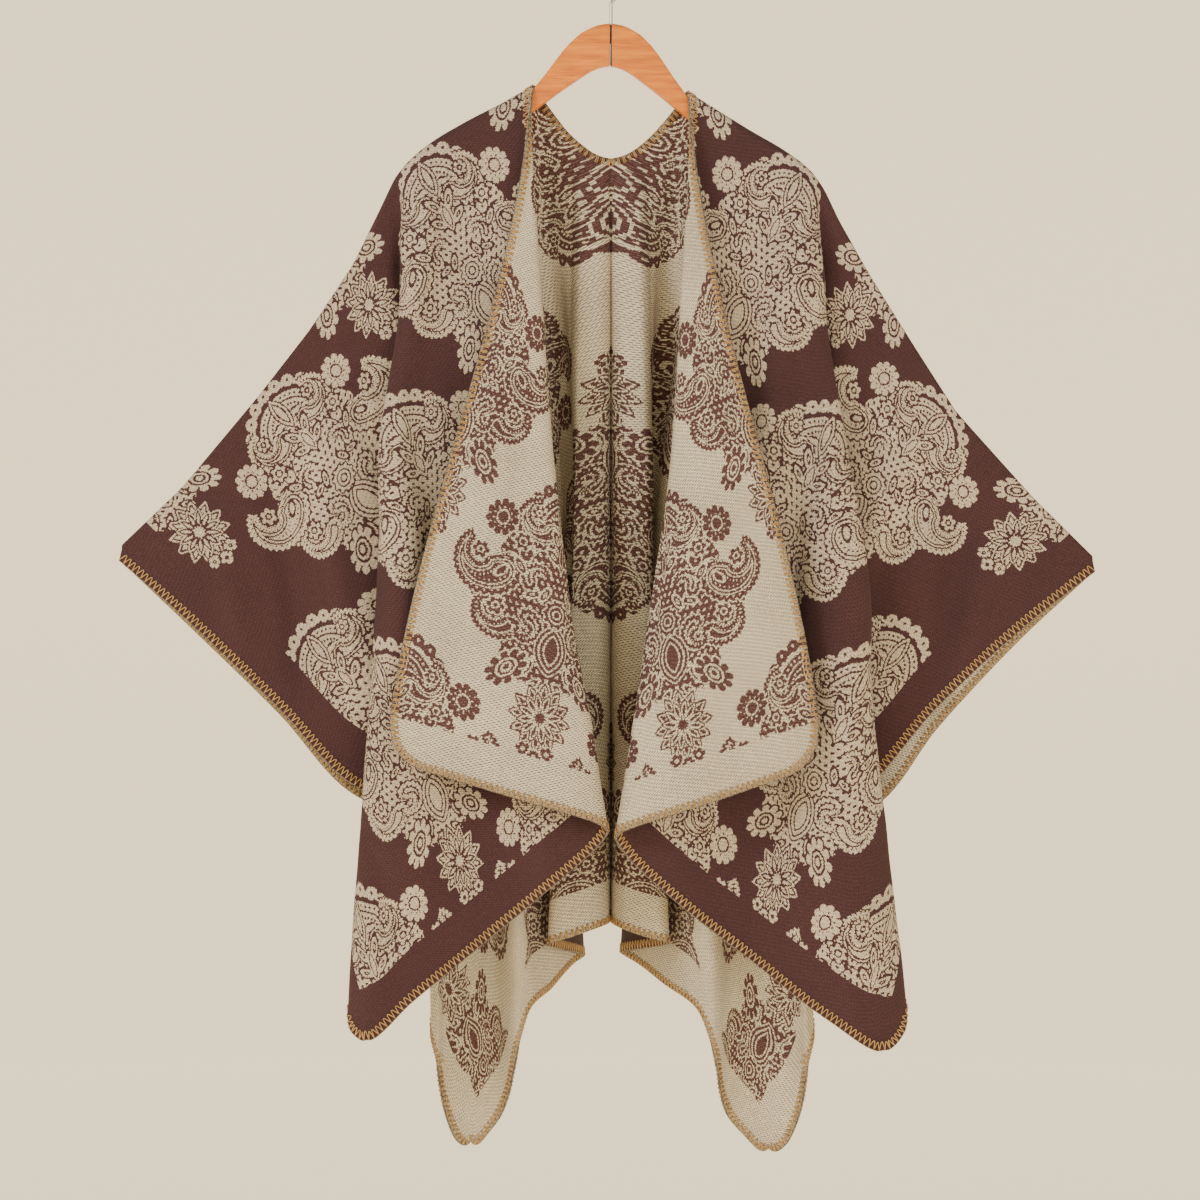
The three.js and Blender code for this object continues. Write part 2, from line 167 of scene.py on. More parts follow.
FRONT_DRAPE = [
    DrapeLine(*row)
    for row in (
        ("slit_edge", 0, 0, 695, 220, -72, -793, 206, -70, -798, -8, 5, -15, 2),
        ("lapel_corner", 2, 40, 695, 182, -76, -803, 170, -74, -809, -5, 6, -14, 2),
        ("lapel_middle", 4, 118, 695, 105, -82, -826, 102, -80, -832, 3, 8, -11, 3),
        ("lapel_inner", 7, 222, 695, 12, -77, -855, 15, -75, -861, 8, 9, -8, 2),
        ("lapel_fold", 10, 236, 695, 3.5, -67, -862, 5, -65, -868, 8, 9, -4, 2),
        ("under_lapel", 14, 250, 695, 12, -56, -877, 15, -54, -887, 8, 9, -1, 2),
        ("inner_panel", 40, 330, 695, 58, -52, -918, 66, -50, -935, 4, 4, 0, 3),
        ("middle_trough", 78, 440, 695, 129, -38, -978, 144, -36, -997, 0, 0, -1, 3),
        ("outer_panel", 112, 545, 695, 194, -52, -1030, 214, -50, -1050, 0, 0, -8, 2),
        ("column_front", 134, 612, 695, 240, -53, -1070, 268, -53, -1080, 0, 0, -16, 2),
        ("column_edge", 144, 641, 672, 260, -38, -1054, 292, -38, -1052, 0, 0, -13, 2),
        ("column_back", 152, 641, 640, 243, -23, -1022, 274, -23, -1020, 0, 0, -8, 2),
        ("hidden_layer", 159, 641, 560, 185, -20, -958, 205, -20, -955, 0, 0, -3, 2),
        ("pleat_front", 166, 641, 487, 128, -18, -898, 138, -18, -898, 0, 0, 0, 1),
        ("pleat_fold", 171, 641, 472, 119, -12, -886, 129, -12, -886, 0, 0, 3, 1),
        ("pleat_back", 177, 641, 456, 128, -6, -878, 138, -6, -876, 0, 0, 5, 2),
        ("wing_inner", 189, 641, 400, 185, -7, -852, 204, -7, -850, 0, 0, 5, 2),
        ("wing_near", 208, 641, 330, 261, -8, -818, 252, -8, -826, 0, 0, 3, 3),
        ("wing_middle", 320, 641, 230, 330, -7, -746, 324, -7, -745, 0, 0, 1, 4),
        ("wing_far", 460, 641, 110, 416, -6, -663, 408, -6, -667, 0, 0, 0, 4),
        ("wing_tip", 628, 641, 15, 491, -4, -597, 483, -4, -608, 0, 0, 0, 0),
    )
]

BACK_DRAPE = [
    DrapeLine(*row)
    for row in (
        ("centre_crease", -107, 0, 865, 0, 86, -965, 0, 86, -965, 0, 0, 0, 2),
        ("crease_wall", -103, 34, 865, 4.5, 52, -966, 4.5, 52, -967, 0, 0, -6, 1),
        ("roll_front", -97, 52, 865, 14, 36, -968, 14, 36, -970, 0, 0, -9, 2),
        ("roll_outer", -88, 76, 865, 36, 28, -975, 34, 28, -976, 0, 0, -9, 2),
        ("first_fold_front", -77, 100, 865, 57, 28, -982, 52, 28, -981, 0, 0, -8, 1),
        ("first_fold", -71, 110, 865, 63, 35, -986, 58, 35, -984, 0, 0, -3, 1),
        ("first_fold_back", -65, 121, 865, 58, 46, -989, 53, 46, -987, 0, 0, 2, 3),
        ("deep_fold_inner", -24, 236, 865, 29, 121, -1006, 11, 121, -1003, 0, 0, 2, 1),
        ("deep_fold", -14, 249, 865, 30, 133, -1010, 14, 133, -1007, 0, 0, 2, 1),
        ("deep_fold_outer", -4, 264, 865, 39, 124, -1015, 25, 124, -1012, 0, 0, 2, 2),
        ("back_slope", 20, 345, 865, 62, 70, -1034, 56, 70, -1030, 0, 0, 1, 2),
        ("ridge_inner", 44, 405, 865, 84, 21, -1050, 89, 23, -1050, 0, 0, 0, 1),
        ("ridge", 56, 425, 865, 91, 9, -1075, 99, 10, -1075, 0, 0, 0, 1),
        ("ridge_outer", 66, 452, 865, 97, 14, -1106, 106, 15, -1108, 0, 0, 0, 3),
        ("trough", 82, 545, 865, 110, 40, -1156, 118, 40, -1158, 0, 0, 0, 3),
        ("corner_hem", 93, 605, 865, 127, 46, -1181, 139, 46, -1184, 0, 0, 0, 2),
        ("back_corner", 100, 641, 865, 142, 46, -1203, 160, 46, -1210, 0, 0, 0, 2),
        ("corner_side", 105, 641, 829, 157, 38, -1183, 178, 38, -1187, 0, 0, 0, 2),
        ("side_low", 110, 641, 797, 168, 27, -1150, 191, 27, -1152, 0, 0, 0, 2),
        ("side_fold", 118, 641, 757, 175, 14, -1100, 198, 14, -1102, 0, 0, -1, 2),
        ("side_fold_back", 127, 641, 722, 180, 30, -1066, 203, 30, -1067, 0, 0, 3, 2),
        ("hidden_layer", 140, 641, 640, 140, 60, -998, 160, 60, -998, 0, 0, 6, 2),
        ("pleat_front", 156, 641, 548, 79, 74, -915, 86, 74, -915, 0, 0, 8, 1),
        ("pleat_fold", 163, 641, 533, 69, 82, -905, 76, 82, -905, 0, 0, 11, 1),
        ("pleat_back", 170, 641, 517, 79, 90, -893, 86, 90, -893, 0, 0, 14, 2),
        ("wing_inner", 186, 641, 430, 166, 72, -868, 178, 72, -866, 0, 0, 12, 3),
        ("wing_near", 208, 641, 330, 262, 22, -830, 267, 22, -843, 0, 0, 8, 3),
        ("wing_middle", 320, 641, 230, 331, 14, -753, 328, 15, -765, 0, 0, 3, 4),
        ("wing_far", 460, 641, 110, 417, 8, -668, 410, 9, -676, 0, 0, 0, 4),
        ("wing_tip", 628, 641, 15, 491, 4, -597, 483, 4, -608, 0, 0, 0, 0),
    )
]


@dataclass(frozen=True)
class Crease:
    """A soft ridge or trough along a bowed line of the flat cloth.

    The line runs from start to end in (u, v), u outward from the middle and v down from the
    hanger. A height above 0 stands out of the outer face, and the steep side is the one to the
    right of its run.
    """

    start: tuple[float, float]
    end: tuple[float, float]
    width: float
    height: float
    bow: float = 0.0
    relief: float = 1.7
    gentle_side: float = 1.25
    steep_side: float = 0.75
    end_fade: float = 0.8

    def rise(self, u: Array, v: Array) -> Array:
        """Height of the crease over every point of the flat cloth.

        Args:
            u: distances outward from the middle line.
            v: distances down from the hanger's line.

        Returns:
            The rise in millimetres, one for each point.
        """
        run = np.array(self.end, float) - np.array(self.start, float)
        length = float(np.hypot(*run))
        run /= length
        ahead = ((u - self.start[0]) * run[0] + (v - self.start[1]) * run[1]) / length
        aside = (u - self.start[0]) * -run[1] + (v - self.start[1]) * run[0]
        inside = np.clip(ahead, 0.0, 1.0)
        aside = aside - self.bow * 4 * inside * (1 - inside)
        width = self.width * np.where(aside > 0, self.gentle_side, self.steep_side)
        ends = np.sin(np.pi * inside) ** self.end_fade
        return self.relief * self.height * np.exp(-((aside / width) ** 2)) * ends


@dataclass
class ClothGrid:
    """Points of the middle of a stretch of cloth, and what the edge work needs of them."""

    points: Array
    flat: Array
    ridge: Array

    def normals(self) -> Array:
        """Unit normals of the grid, level along the ridge where two stretches meet.

        Returns:
            One vector for each point.
        """
        across = np.gradient(self.points, axis=0)
        down = np.gradient(self.points, axis=1)
        out = np.cross(across, down)
        out[self.ridge, 0, 1] = 0.0
        return out / np.linalg.norm(out, axis=2, keepdims=True)

    def numbers(self) -> Array:
        """The number of each point, one column after another."""
        columns, rows = self.points.shape[:2]
        return np.arange(columns * rows).reshape(columns, rows)

    def quads(self) -> Array:
        """Numbers of the four corners of every patch between neighbouring points."""
        n = self.numbers()
        return np.stack([n[:-1, :-1], n[1:, :-1], n[1:, 1:], n[:-1, 1:]], axis=-1).reshape(-1, 4)


@dataclass
class DrapedStretch:
    """One stretch of the cloth that hangs from the top: its lines, side and flat length."""

    lines: Sequence[DrapeLine]
    side: Side
    facing: Facing
    length: float
    creases: Sequence[Crease] = ()
    refine: int = 4
    rows: int = 118
    roll_rows: int = 8
    crowding: float = 1.12

    def spaced(self) -> tuple[Array, Array]:
        """Places of the columns between the lines.

        Returns:
            The line before each column, and the column's share of the way to the next line.
        """
        before: list[int] = []
        shares: list[float] = []
        last = len(self.lines) - 2
        for i, line in enumerate(self.lines[:-1]):
            count = line.steps * self.refine
            for step in range(count + (i == last)):
                before.append(i)
                shares.append(step / count)
        return np.array(before), np.array(shares)

    def own_name(self, row: CrestPoint | DrapeLine, name: str) -> str:
        """A column's name in a table, with the side's word before it where the side has its own."""
        own = f"{self.side.name.lower()}_{name}"
        return own if hasattr(row, own) else name

    def values(self, name: str) -> Array:
        """One column of the drape's table."""
        own = self.own_name(self.lines[0], name)
        return np.array([getattr(line, own) for line in self.lines], float)

    def straight(self, name: str, before: Array, share: Array) -> Array:
        """A value between two lines, on a straight line."""
        rows = self.values(name)
        return rows[before] + (rows[before + 1] - rows[before]) * share

    def smooth(self, name: str, knots: Array, before: Array, share: Array) -> Array:
        """A value between two lines, on a smooth curve through all of them.

        Args:
            name: the table's column.
            knots: the curve's knots, one for each line.
            before: the line before each place.
            share: the place's share of the way to the next line.

        Returns:
            The value at each place.
        """
        rows = self.values(name)
        gaps = np.diff(knots)
        rates = np.diff(rows) / gaps
        slopes = np.concatenate((
            rates[:1],
            (rates[:-1] * gaps[1:] + rates[1:] * gaps[:-1]) / (gaps[1:] + gaps[:-1]),
            rates[-1:],
        ))
        t, t2, t3 = share, share**2, share**3
        step = gaps[before]
        return (
            (2 * t3 - 3 * t2 + 1) * rows[before]
            + (t3 - 2 * t2 + t) * step * slopes[before]
            + (3 * t2 - 2 * t3) * rows[before + 1]
            + (t3 - t2) * step * slopes[before + 1]
        )

    def crest(self, name: str, along: Array) -> Array:
        """The crest's value at distances along it, on straight lines."""
        own = self.own_name(CREST[0], name)
        return np.interp(along, [p.along for p in CREST], [getattr(p, own) for p in CREST])

    def smooth_crest(self, name: str, along: Array) -> Array:
        """The crest's value with its bends rounded, but for the neck point.

        Args:
            name: out or up.
            along: distances along the crest.

        Returns:
            The value at each distance.
        """
        stops = np.array([CREST[0].along, 0.0, CREST[-1].along])
        nearest = np.abs(along[:, None] - stops).min(axis=1)
        reach = np.minimum(CREST_SMOOTHING, nearest)
        spread = [w * self.crest(name, along + k * reach) for k, w in SMOOTHING_TAPS]
        return sum(spread) / sum(w for _, w in SMOOTHING_TAPS)

    def cut_share(self, top: Array, end: Array) -> Array:
        """Share of each line of the flat cut that stays inside the rounded corners.

        Args:
            top: flat places of the lines' tops.
            end: flat places of the lines' ends.

        Returns:
            One share for each line, 1 where the line meets no corner.
        """
        def inside(share: Array) -> Array:
            """Whether the point at a share of each line is on the cut.

            Args:
                share: one share for each line.

            Returns:
                True where the point is on the cut.
            """
            u, v = (top + (end - top) * share[:, None]).T
            past = v - (self.length - CORNER_RADIUS)
            outer = u - (CLOTH_HALF_WIDTH - CORNER_RADIUS)
            slit = CORNER_RADIUS - u if self.facing is Facing.FRONT else np.zeros_like(u)
            aside = np.maximum(np.maximum(outer, slit), 0)
            return (past <= 0) | (np.hypot(aside, past) <= CORNER_RADIUS + 1e-6)

        low = np.full(len(top), 0.5)
        high = np.ones(len(top))
        whole = inside(high)
        for _ in range(HALVINGS):
            middle = (low + high) / 2
            fits = inside(middle)
            low = np.where(fits, middle, low)
            high = np.where(fits, high, middle)
        return np.where(whole, 1.0, low)

    def saddle_radius(self, along: Array) -> Array:
        """Radius of the cloth's roll over the hanger, which closes at the neck and the wing's tip.

        Args:
            along: distances along the crest.

        Returns:
            The radius at each distance.
        """
        past = np.maximum(0, along - SADDLE_TAPER_START) / (CLOTH_HALF_WIDTH - SADDLE_TAPER_START)
        tapered = np.minimum(1, past * SADDLE_TAPER_RATE)
        radius = SADDLE_RADIUS + (WING_TIP_SADDLE - SADDLE_RADIUS) * tapered
        neck = np.maximum(0, 1 + along / NECK_ROLL)
        return np.where(along < 0, SADDLE_RADIUS * neck, radius)

    def build(self) -> ClothGrid:
        """The stretch as it hangs, on a fine grid.

        Returns:
            The grid, one column after another from the middle outward.
        """
        before, share = self.spaced()
        ends = np.stack([self.values(n) for n in ("out", "back", "up")], axis=1)
        strides = np.sqrt(np.linalg.norm(np.diff(ends, axis=0), axis=1))
        knots = np.concatenate(([0.0], np.cumsum(strides)))
        along = self.straight("along", before, share)
        end = np.stack(
            [self.smooth(n, knots, before, share) for n in ("out", "back", "up")], axis=1)
        swing_upper, swing_lower, lift = (
            self.smooth(n, knots, before, share)[:, None]
            for n in ("swing_upper", "swing_lower", "lift"))
        flat_top = np.stack(
            [np.maximum(0, along), np.maximum(0, -along) * NECK_CUT_SHARE], axis=1)
        flat_end = np.stack(
            [self.straight(n, before, share) for n in ("cut_u", "cut_v")], axis=1)
        cut_length = np.linalg.norm(flat_end - flat_top, axis=1)
        whole = cut_length * self.cut_share(flat_top, flat_end)
        radius = self.saddle_radius(along)[:, None]
        arc = radius * math.pi / 2

        row = np.arange(self.rows)[None, :]
        roll = np.maximum(arc, LEAST_ROLL_SHARE * whole[:, None])
        fall = np.maximum(0, row - self.roll_rows) / (self.rows - 1 - self.roll_rows)
        distance = roll * np.minimum(row / self.roll_rows, 1)
        distance = distance + (whole[:, None] - roll) * fall**self.crowding

        crest = np.stack([
            self.smooth_crest("out", along),
            np.where(along < 0, self.crest("back", along), 0.0),
            self.smooth_crest("up", along) - CLOTH_THICKNESS / 2,
        ], axis=1)
        heading = end - crest
        heading[:, 1] = 0.0
        heading /= np.linalg.norm(heading, axis=1, keepdims=True)
        facing = self.facing.value
        turn = np.minimum(distance / np.maximum(radius, 1e-6), math.pi / 2)
        rolled = crest[:, None, :] + heading[:, None, :] * (radius * (1 - np.cos(turn)))[..., None]
        rolled[..., 1] += facing * radius * np.sin(turn)

        t = (distance - arc) / (cut_length[:, None] - arc)
        start = crest + heading * radius
        start[:, 1] += facing * radius[:, 0]
        hung = start[:, None, :] * (1 - t[..., None]) + end[:, None, :] * t[..., None]
        hung[..., 0] += swing_upper * SWING_SCALE * t * (1 - t) * (2 / 3 - t)
        hung[..., 0] += swing_lower * SWING_SCALE * t * (1 - t) * (t - 1 / 3)
        hung[..., 1] += lift * (1 - np.exp(-np.maximum(t, 0) / LIFT_REACH)) * (1 - t**3)
        points = np.where((distance < arc)[..., None], rolled, hung)

        ridge = along >= 0
        points[ridge, 0, 1] += facing * SEAM_GAP / 2
        points[..., 0] *= self.side.value
        gone = (distance / cut_length[:, None])[..., None]
        flat = flat_top[:, None, :] * (1 - gone) + flat_end[:, None, :] * gone
        return self.creased(ClothGrid(points, flat, ridge), distance)

    def creased(self, grid: ClothGrid, distance: Array) -> ClothGrid:
        """The grid with its listed creases and the slight unevenness of soft cloth.

        Args:
            grid: the smooth grid.
            distance: how far down its column each point lies.

        Returns:
            The creased grid.
        """
        u, v = grid.flat[..., 0], grid.flat[..., 1]
        rise = np.zeros_like(u)
        for crease in self.creases:
            rise += crease.rise(u, v)
        phase = 0.7 if self.side is Side.LEFT else 2.3
        rise += BROAD_WAVE * np.sin(u / 31 + v / 83 + phase) * np.sin(v / 57 - u / 140 + 2 * phase)
        rise += FINE_WAVE * np.sin(u / 13 + 1.7 * phase) * np.sin(v / 21 + u / 47 - phase)
        still = np.clip(distance / 60 - 0.25, 0, 1) ** 2 * np.clip(u / 16, 0, 1)
        outward = grid.normals() * self.outer_sign(grid)
        grid.points = grid.points + outward * (rise * still)[..., None]
        return grid

    def outer_sign(self, grid: ClothGrid) -> float:
        """1 where the grid's normals point out of the outer face, and -1 where they point in."""
        wing = grid.normals()[-WING_COLUMNS:, self.rows // 2, 1]
        return 1.0 if float(wing.mean()) * self.facing.value > 0 else -1.0


def new_piece(name: str, vertices: Array, faces: Array) -> bpy.types.Object:
    """A new mesh object in the scene, riding on the part's body.

    Args:
        name: the piece's name.
        vertices: places in millimetres.
        faces: vertex numbers of each face.

    Returns:
        The object, with its place in its mesh.
    """
    mesh = bpy.data.meshes.new(name)
    mesh.from_pydata((vertices * MM).tolist(), [], faces.tolist())
    mesh.validate()
    piece = bpy.data.objects.new(name, mesh)
    bpy.context.scene.collection.objects.link(piece)
    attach(piece, BODY)
    return piece


def deselect() -> None:
    if bpy.context.mode != "OBJECT":
        bpy.ops.object.mode_set(mode="OBJECT")
    bpy.ops.object.select_all(action="DESELECT")


@dataclass
class ClothShell:
    """A closed wall of cloth on both sides of a grid, with its flat-cut and bake coordinates."""

    name: str
    node: str
    stretch: DrapedStretch
    rests_on: str
    smooth_below: float = math.radians(50)
    bake_margin: float = 0.006
    bake_width: float = 0.482
    bake_shift: float = 0.504
    grid: ClothGrid = field(init=False)
    outward: Array = field(init=False)

    def __post_init__(self) -> None:
        """Hangs the stretch and finds which way its outer face looks."""
        self.grid = self.stretch.build()
        self.outward = self.grid.normals() * self.stretch.outer_sign(self.grid)

    def layer(self, way: int) -> Array:
        """Points of the outer face where way is 1, and of the inner face where it is -1."""
        return (self.grid.points + self.outward * (CLOTH_THICKNESS / 2) * way).reshape(-1, 3)

    def build(self, outer: bpy.types.Material, inner: bpy.types.Material) -> bpy.types.Object:
        """Makes the cloth's mesh, its two faces and its rim.

        Args:
            outer: finish of the face that shows outside.
            inner: finish of the face toward the wearer.

        Returns:
            The cloth piece.
        """
        number = self.grid.numbers()
        count = number.size
        face_out = self.grid.quads()
        face_in = face_out[:, [0, 3, 2, 1]] + count
        rim = self.rim(number)
        rim_faces = np.concatenate([rim[:, [1, 0]], rim[:, [0, 1]] + count], axis=1)
        faces = np.concatenate([face_out, face_in, rim_faces])
        if self.stretch.outer_sign(self.grid) < 0:
            faces = faces[:, ::-1]
        piece = new_piece(self.name, np.concatenate([self.layer(1), self.layer(-1)]), faces)
        mesh = piece.data
        kinds = np.zeros(len(faces), np.int32)
        kinds[len(face_out):2 * len(face_out)] = 1
        for finish in (outer, inner):
            mesh.materials.append(finish)
        mesh.polygons.foreach_set("material_index", kinds)
        self.add_maps(mesh, count)
        mesh.shade_smooth()
        deselect()
        piece.select_set(True)
        bpy.context.view_layer.objects.active = piece
        bpy.ops.object.shade_smooth_by_angle(angle=self.smooth_below)
        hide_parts(self.node)
        return piece

    @staticmethod
    def rim(number: Array) -> Array:
        """Pairs of neighbouring points all the way round a grid of vertex numbers."""
        loop = np.concatenate(
            [number[:-1, 0], number[-1, :-1], number[:0:-1, -1], number[0, :0:-1]])
        return np.stack([loop, np.roll(loop, -1)], axis=1)

    def add_maps(self, mesh: bpy.types.Mesh, count: int) -> None:
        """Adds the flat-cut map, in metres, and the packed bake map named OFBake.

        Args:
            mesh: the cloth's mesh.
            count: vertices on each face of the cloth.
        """
        flat = self.grid.flat.reshape(-1, 2)
        signs = (self.stretch.side.value, -self.stretch.facing.value)
        corner = np.empty(len(mesh.loops), np.int32)
        mesh.loops.foreach_get("vertex_index", corner)
        cut = flat[corner % count]
        layer = mesh.uv_layers.new(name="FlatCut")
        layer.data.foreach_set("uv", (cut * signs * MM).ravel().astype(np.float32))
        inner = (corner >= count).astype(float)
        across = cut[:, 0] / CLOTH_HALF_WIDTH
        margin = self.bake_margin
        packed = np.stack([
            margin + self.bake_width * across + self.bake_shift * inner,
            margin + (1 - 2 * margin) * cut[:, 1] / self.stretch.length,
        ], axis=1)
        layer = mesh.uv_layers.new(name="OFBake")
        layer.data.foreach_set("uv", packed.ravel().astype(np.float32))
        mesh.uv_layers.active = mesh.uv_layers["FlatCut"]


FRONT_CREASES: dict[Side, tuple[Crease, ...]] = {
    Side.LEFT: tuple(Crease(*row) for row in (
        ((150, 90), (322, 668), 30, 6.5, 16),
        ((214, 70), (392, 640), 26, -6.0, -10),
        ((262, 60), (470, 610), 28, 6.0, 14),
        ((352, 70), (560, 470), 22, -6.5, 12),
        ((404, 60), (604, 380), 24, 7.0, -14),
        ((470, 40), (626, 250), 20, -5.0, 10),
        ((548, 30), (632, 170), 18, 4.5, 6),
        ((134, 14), (228, 150), 11, 3.0, 8),
        ((176, 12), (300, 120), 10, -2.8, -8),
        ((40, 240), (120, 640), 26, -3.5, 12),
        ((92, 200), (192, 600), 22, 3.2, -10),
        ((300, 520), (344, 690), 18, 4.2, 8),
        ((512, 520), (560, 676), 20, -4.5, 8),
    )),
    Side.RIGHT: tuple(Crease(*row) for row in (
        ((160, 80), (348, 652), 28, 6.2, -12),
        ((226, 84), (416, 600), 24, -6.2, 14),
        ((280, 50), (486, 640), 30, 6.4, -10),
        ((344, 84), (548, 500), 20, -6.0, -12),
        ((416, 50), (596, 410), 26, 6.6, 14),
        ((486, 44), (630, 230), 18, -5.2, -8),
        ((556, 24), (628, 190), 16, 4.2, 6),
        ((126, 18), (216, 166), 12, 2.8, -8),
        ((188, 12), (316, 110), 10, -2.8, 8),
        ((48, 260), (134, 620), 24, -3.2, -10),
        ((104, 180), (182, 620), 24, 3.2, 12),
        ((322, 500), (372, 690), 20, -4.0, 8),
        ((494, 540), (548, 684), 18, 4.4, -6),
    )),
}
BACK_CREASES: dict[Side, tuple[Crease, ...]] = {
    Side.LEFT: tuple(Crease(*row) for row in (
        ((58, 150), (84, 800), 22, 6.0, 10),
        ((112, 110), (176, 820), 26, -6.5, -12),
        ((168, 90), (290, 800), 28, 6.2, 16),
        ((236, 70), (396, 720), 26, -6.0, 12),
        ((300, 60), (500, 640), 28, 6.4, -16),
        ((382, 50), (574, 500), 22, -6.0, 12),
        ((452, 40), (616, 360), 22, 5.6, -10),
        ((534, 30), (630, 220), 18, -4.6, 8),
        ((142, 16), (240, 170), 12, 3.0, 8),
        ((196, 12), (330, 130), 11, -2.8, -6),
        ((330, 640), (372, 850), 20, 4.4, 8),
    )),
    Side.RIGHT: tuple(Crease(*row) for row in (
        ((66, 130), (96, 780), 24, 6.2, -8),
        ((124, 120), (196, 800), 24, -6.2, 12),
        ((180, 80), (310, 820), 30, 6.0, -14),
        ((250, 80), (404, 700), 24, -6.2, 12),
        ((316, 50), (512, 660), 30, 6.0, 14),
        ((394, 60), (560, 520), 20, -5.8, -12),
        ((466, 36), (620, 340), 24, 5.8, 10),
        ((546, 26), (632, 200), 16, -4.4, -6),
        ((136, 20), (232, 180), 12, 3.0, -8),
        ((208, 12), (344, 120), 11, -2.6, 6),
        ((350, 620), (398, 846), 20, -4.4, 8),
    )),
}

Operand: TypeAlias = "Value | float"
Pair: TypeAlias = tuple[float, float]
Colour: TypeAlias = tuple[float, float, float]
Axes: TypeAlias = tuple[float, float, float]


class Value:
    """A number inside a material's nodes, on which Python expressions can be written."""

    def __init__(self, graph: "Graph", socket: bpy.types.NodeSocket) -> None:
        """Keeps the graph and the output socket that carries the number."""
        self.graph = graph
        self.socket = socket

    def __add__(self, other: Operand) -> "Value":
        """Sum."""
        return self.graph.math("ADD", self, other)

    __radd__ = __add__

    def __sub__(self, other: Operand) -> "Value":
        """Difference."""
        return self.graph.math("SUBTRACT", self, other)

    def __rsub__(self, other: Operand) -> "Value":
        """Difference from a plain number."""
        return self.graph.math("SUBTRACT", other, self)

    def __mul__(self, other: Operand) -> "Value":
        """Product."""
        return self.graph.math("MULTIPLY", self, other)

    __rmul__ = __mul__

    def __lt__(self, other: Operand) -> "Value":
        """1 where it is less, and 0 elsewhere."""
        return self.graph.math("LESS_THAN", self, other)

    def __gt__(self, other: Operand) -> "Value":
        """1 where it is more, and 0 elsewhere."""
        return self.graph.math("GREATER_THAN", self, other)

    def scaled(self, factor: float, offset: Operand) -> "Value":
        """This times a factor, plus an offset, in one node."""
        return self.graph.math("MULTIPLY_ADD", self, factor, offset)

    def max(self, other: Operand) -> "Value":
        """The larger of two."""
        return self.graph.math("MAXIMUM", self, other)

    def min(self, other: Operand) -> "Value":
        """The smaller of two."""
        return self.graph.math("MINIMUM", self, other)

    def abs(self) -> "Value":
        """Its size without its sign."""
        return self.graph.math("ABSOLUTE", self)

    def fraction(self) -> "Value":
        """What is left over a whole number."""
        return self.graph.math("FRACT", self)

    def atan2(self, ahead: Operand) -> "Value":
        """Angle whose opposite side is this and whose near side is ahead."""
        return self.graph.math("ARCTAN2", self, ahead)

    def ping(self, reach: float) -> "Value":
        """Distance to the nearest whole multiple of twice the reach."""
        return self.graph.math("PINGPONG", self, reach)

    def wrap(self, low: float, high: float) -> "Value":
        """This brought into a range by whole ranges."""
        return self.graph.math("WRAP", self, high, low)

    def snap(self, step: float) -> "Value":
        """This brought down to a whole number of steps."""
        return self.graph.math("SNAP", self, step)

    def hypot(self, other: "Value") -> "Value":
        """Length of the vector made of this and another.

        Args:
            other: the vector's second number.

        Returns:
            The length.
        """
        both = self.graph.node("ShaderNodeCombineXYZ", {}, {"X": self, "Y": other})
        length = self.graph.node(
            "ShaderNodeVectorMath", {"operation": "LENGTH"}, {0: both.outputs[0]})
        return Value(self.graph, length.outputs["Value"])


